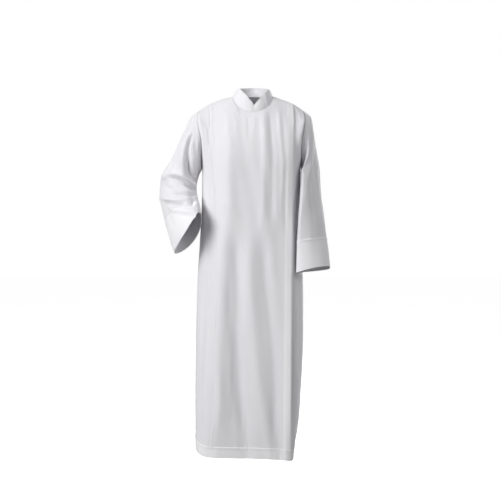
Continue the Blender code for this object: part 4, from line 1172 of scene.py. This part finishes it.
def stitchForm():
    # one short raised stitch, made once
    bpy.ops.object.select_all(action="DESELECT")
    bpy.ops.mesh.primitive_uv_sphere_add(segments=stitchValues["sides"], ring_count=stitchValues["rings"])
    one = bpy.context.object
    spots = np.array([tuple(vertex.co) for vertex in one.data.vertices])
    faces = [tuple(face.vertices) for face in one.data.polygons]
    bpy.data.objects.remove(one)
    spots = spots[:, [2, 0, 1]]                                    # its poles lie along the seam
    spots[:, 0] = np.sign(spots[:, 0]) * np.abs(spots[:, 0]) ** stitchValues["blunt"]
    return spots, faces


stitchSpots, stitchFaces = stitchForm()


def sewLines(name, lines):
    # each line is a row of surface points with the cloth's outward direction and the height of its face
    v = stitchValues
    allSpots = []
    allFaces = []
    for points, outward, rise in lines:
        length = arcLengths(points)
        count = int(length[-1] // v["pitch"])
        for k in range(count):
            s = (k + 0.5) * length[-1] / count
            a, b = readAlong(points, length, [s - v["length"] / 2, s + v["length"] / 2])
            up = readAlong(outward, length, s)
            up /= np.linalg.norm(up)
            ahead = (b - a) / np.linalg.norm(b - a)
            cross = np.cross(ahead, up)
            centre = (a + b) / 2 + up * (rise - v["sink"])
            axes = np.array([ahead * v["length"] / 2, cross * v["thick"], up * v["thick"]])
            base = len(allSpots) * len(stitchSpots)
            allSpots.append(centre + stitchSpots @ axes)
            allFaces += [tuple(base + i for i in face) for face in stitchFaces]
    mesh = bpy.data.meshes.new(name)
    mesh.from_pydata(np.concatenate(allSpots).tolist(), [], allFaces)
    mesh.update()
    piece = bpy.data.objects.new(name, mesh)
    bpy.context.scene.collection.objects.link(piece)
    piece.data.materials.append(sewingThread)
    bpy.ops.object.select_all(action="DESELECT")
    piece.select_set(True)
    bpy.context.view_layer.objects.active = piece
    bpy.ops.object.mode_set(mode="EDIT")
    bpy.ops.mesh.select_all(action="SELECT")
    bpy.ops.mesh.normals_make_consistent(inside=False)
    bpy.ops.object.mode_set(mode="OBJECT")
    bpy.ops.object.shade_smooth()
    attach(piece, "root")
    return piece


def hemRow(grid, levels, sign, keep=None):
    row = int(np.argmin(np.abs(levels - (bodyValues["hemZ"] + bodyValues["hemDepth"]))))
    outward = gridNormals(grid, sign)[row]
    points = grid[row]
    if keep is not None:
        points, outward = points[keep], outward[keep]
    return points, outward, bodyValues["hem"] / 2


shownLeft = sideLeftGrid[-1, :, 0] > stitchValues["shownFrom"]
hemStitches = sewLines("hemStitches", [
    hemRow(frontPanelGrid, frontLevels, 1),
    hemRow(sideRightGrid, frontLevels, 1),
    hemRow(sideLeftGrid, frontLevels, 1, shownLeft),
    hemRow(backPanelGrid, backLevels, -1),
])


def cuffRow(surface, outward, along, whole):
    row = int(np.argmin(np.abs(along - (whole - sleeveValues["cuffHem"]))))
    closed = np.concatenate([surface[row], surface[row][:1]])
    return closed, np.concatenate([outward[row], outward[row][:1]]), sleeveValues["cuffThickness"] / 2


rightCuffStitches = sewLines("rightCuffStitches", [cuffRow(*rightLaid)])
leftCuffStitches = sewLines("leftCuffStitches", [cuffRow(*leftLaid)])


def collarRow(distance):
    columns = (collarGrid[:, k] for k in range(collarGrid.shape[1]))
    points = [readAlong(line, arcLengths(line), distance) for line in columns]
    return np.array(points), collarOutward, collarValues["cloth"] / 2


collarStitches = sewLines("collarStitches", [collarRow(collarValues["stitchAt"])])
print("stitches sewn")
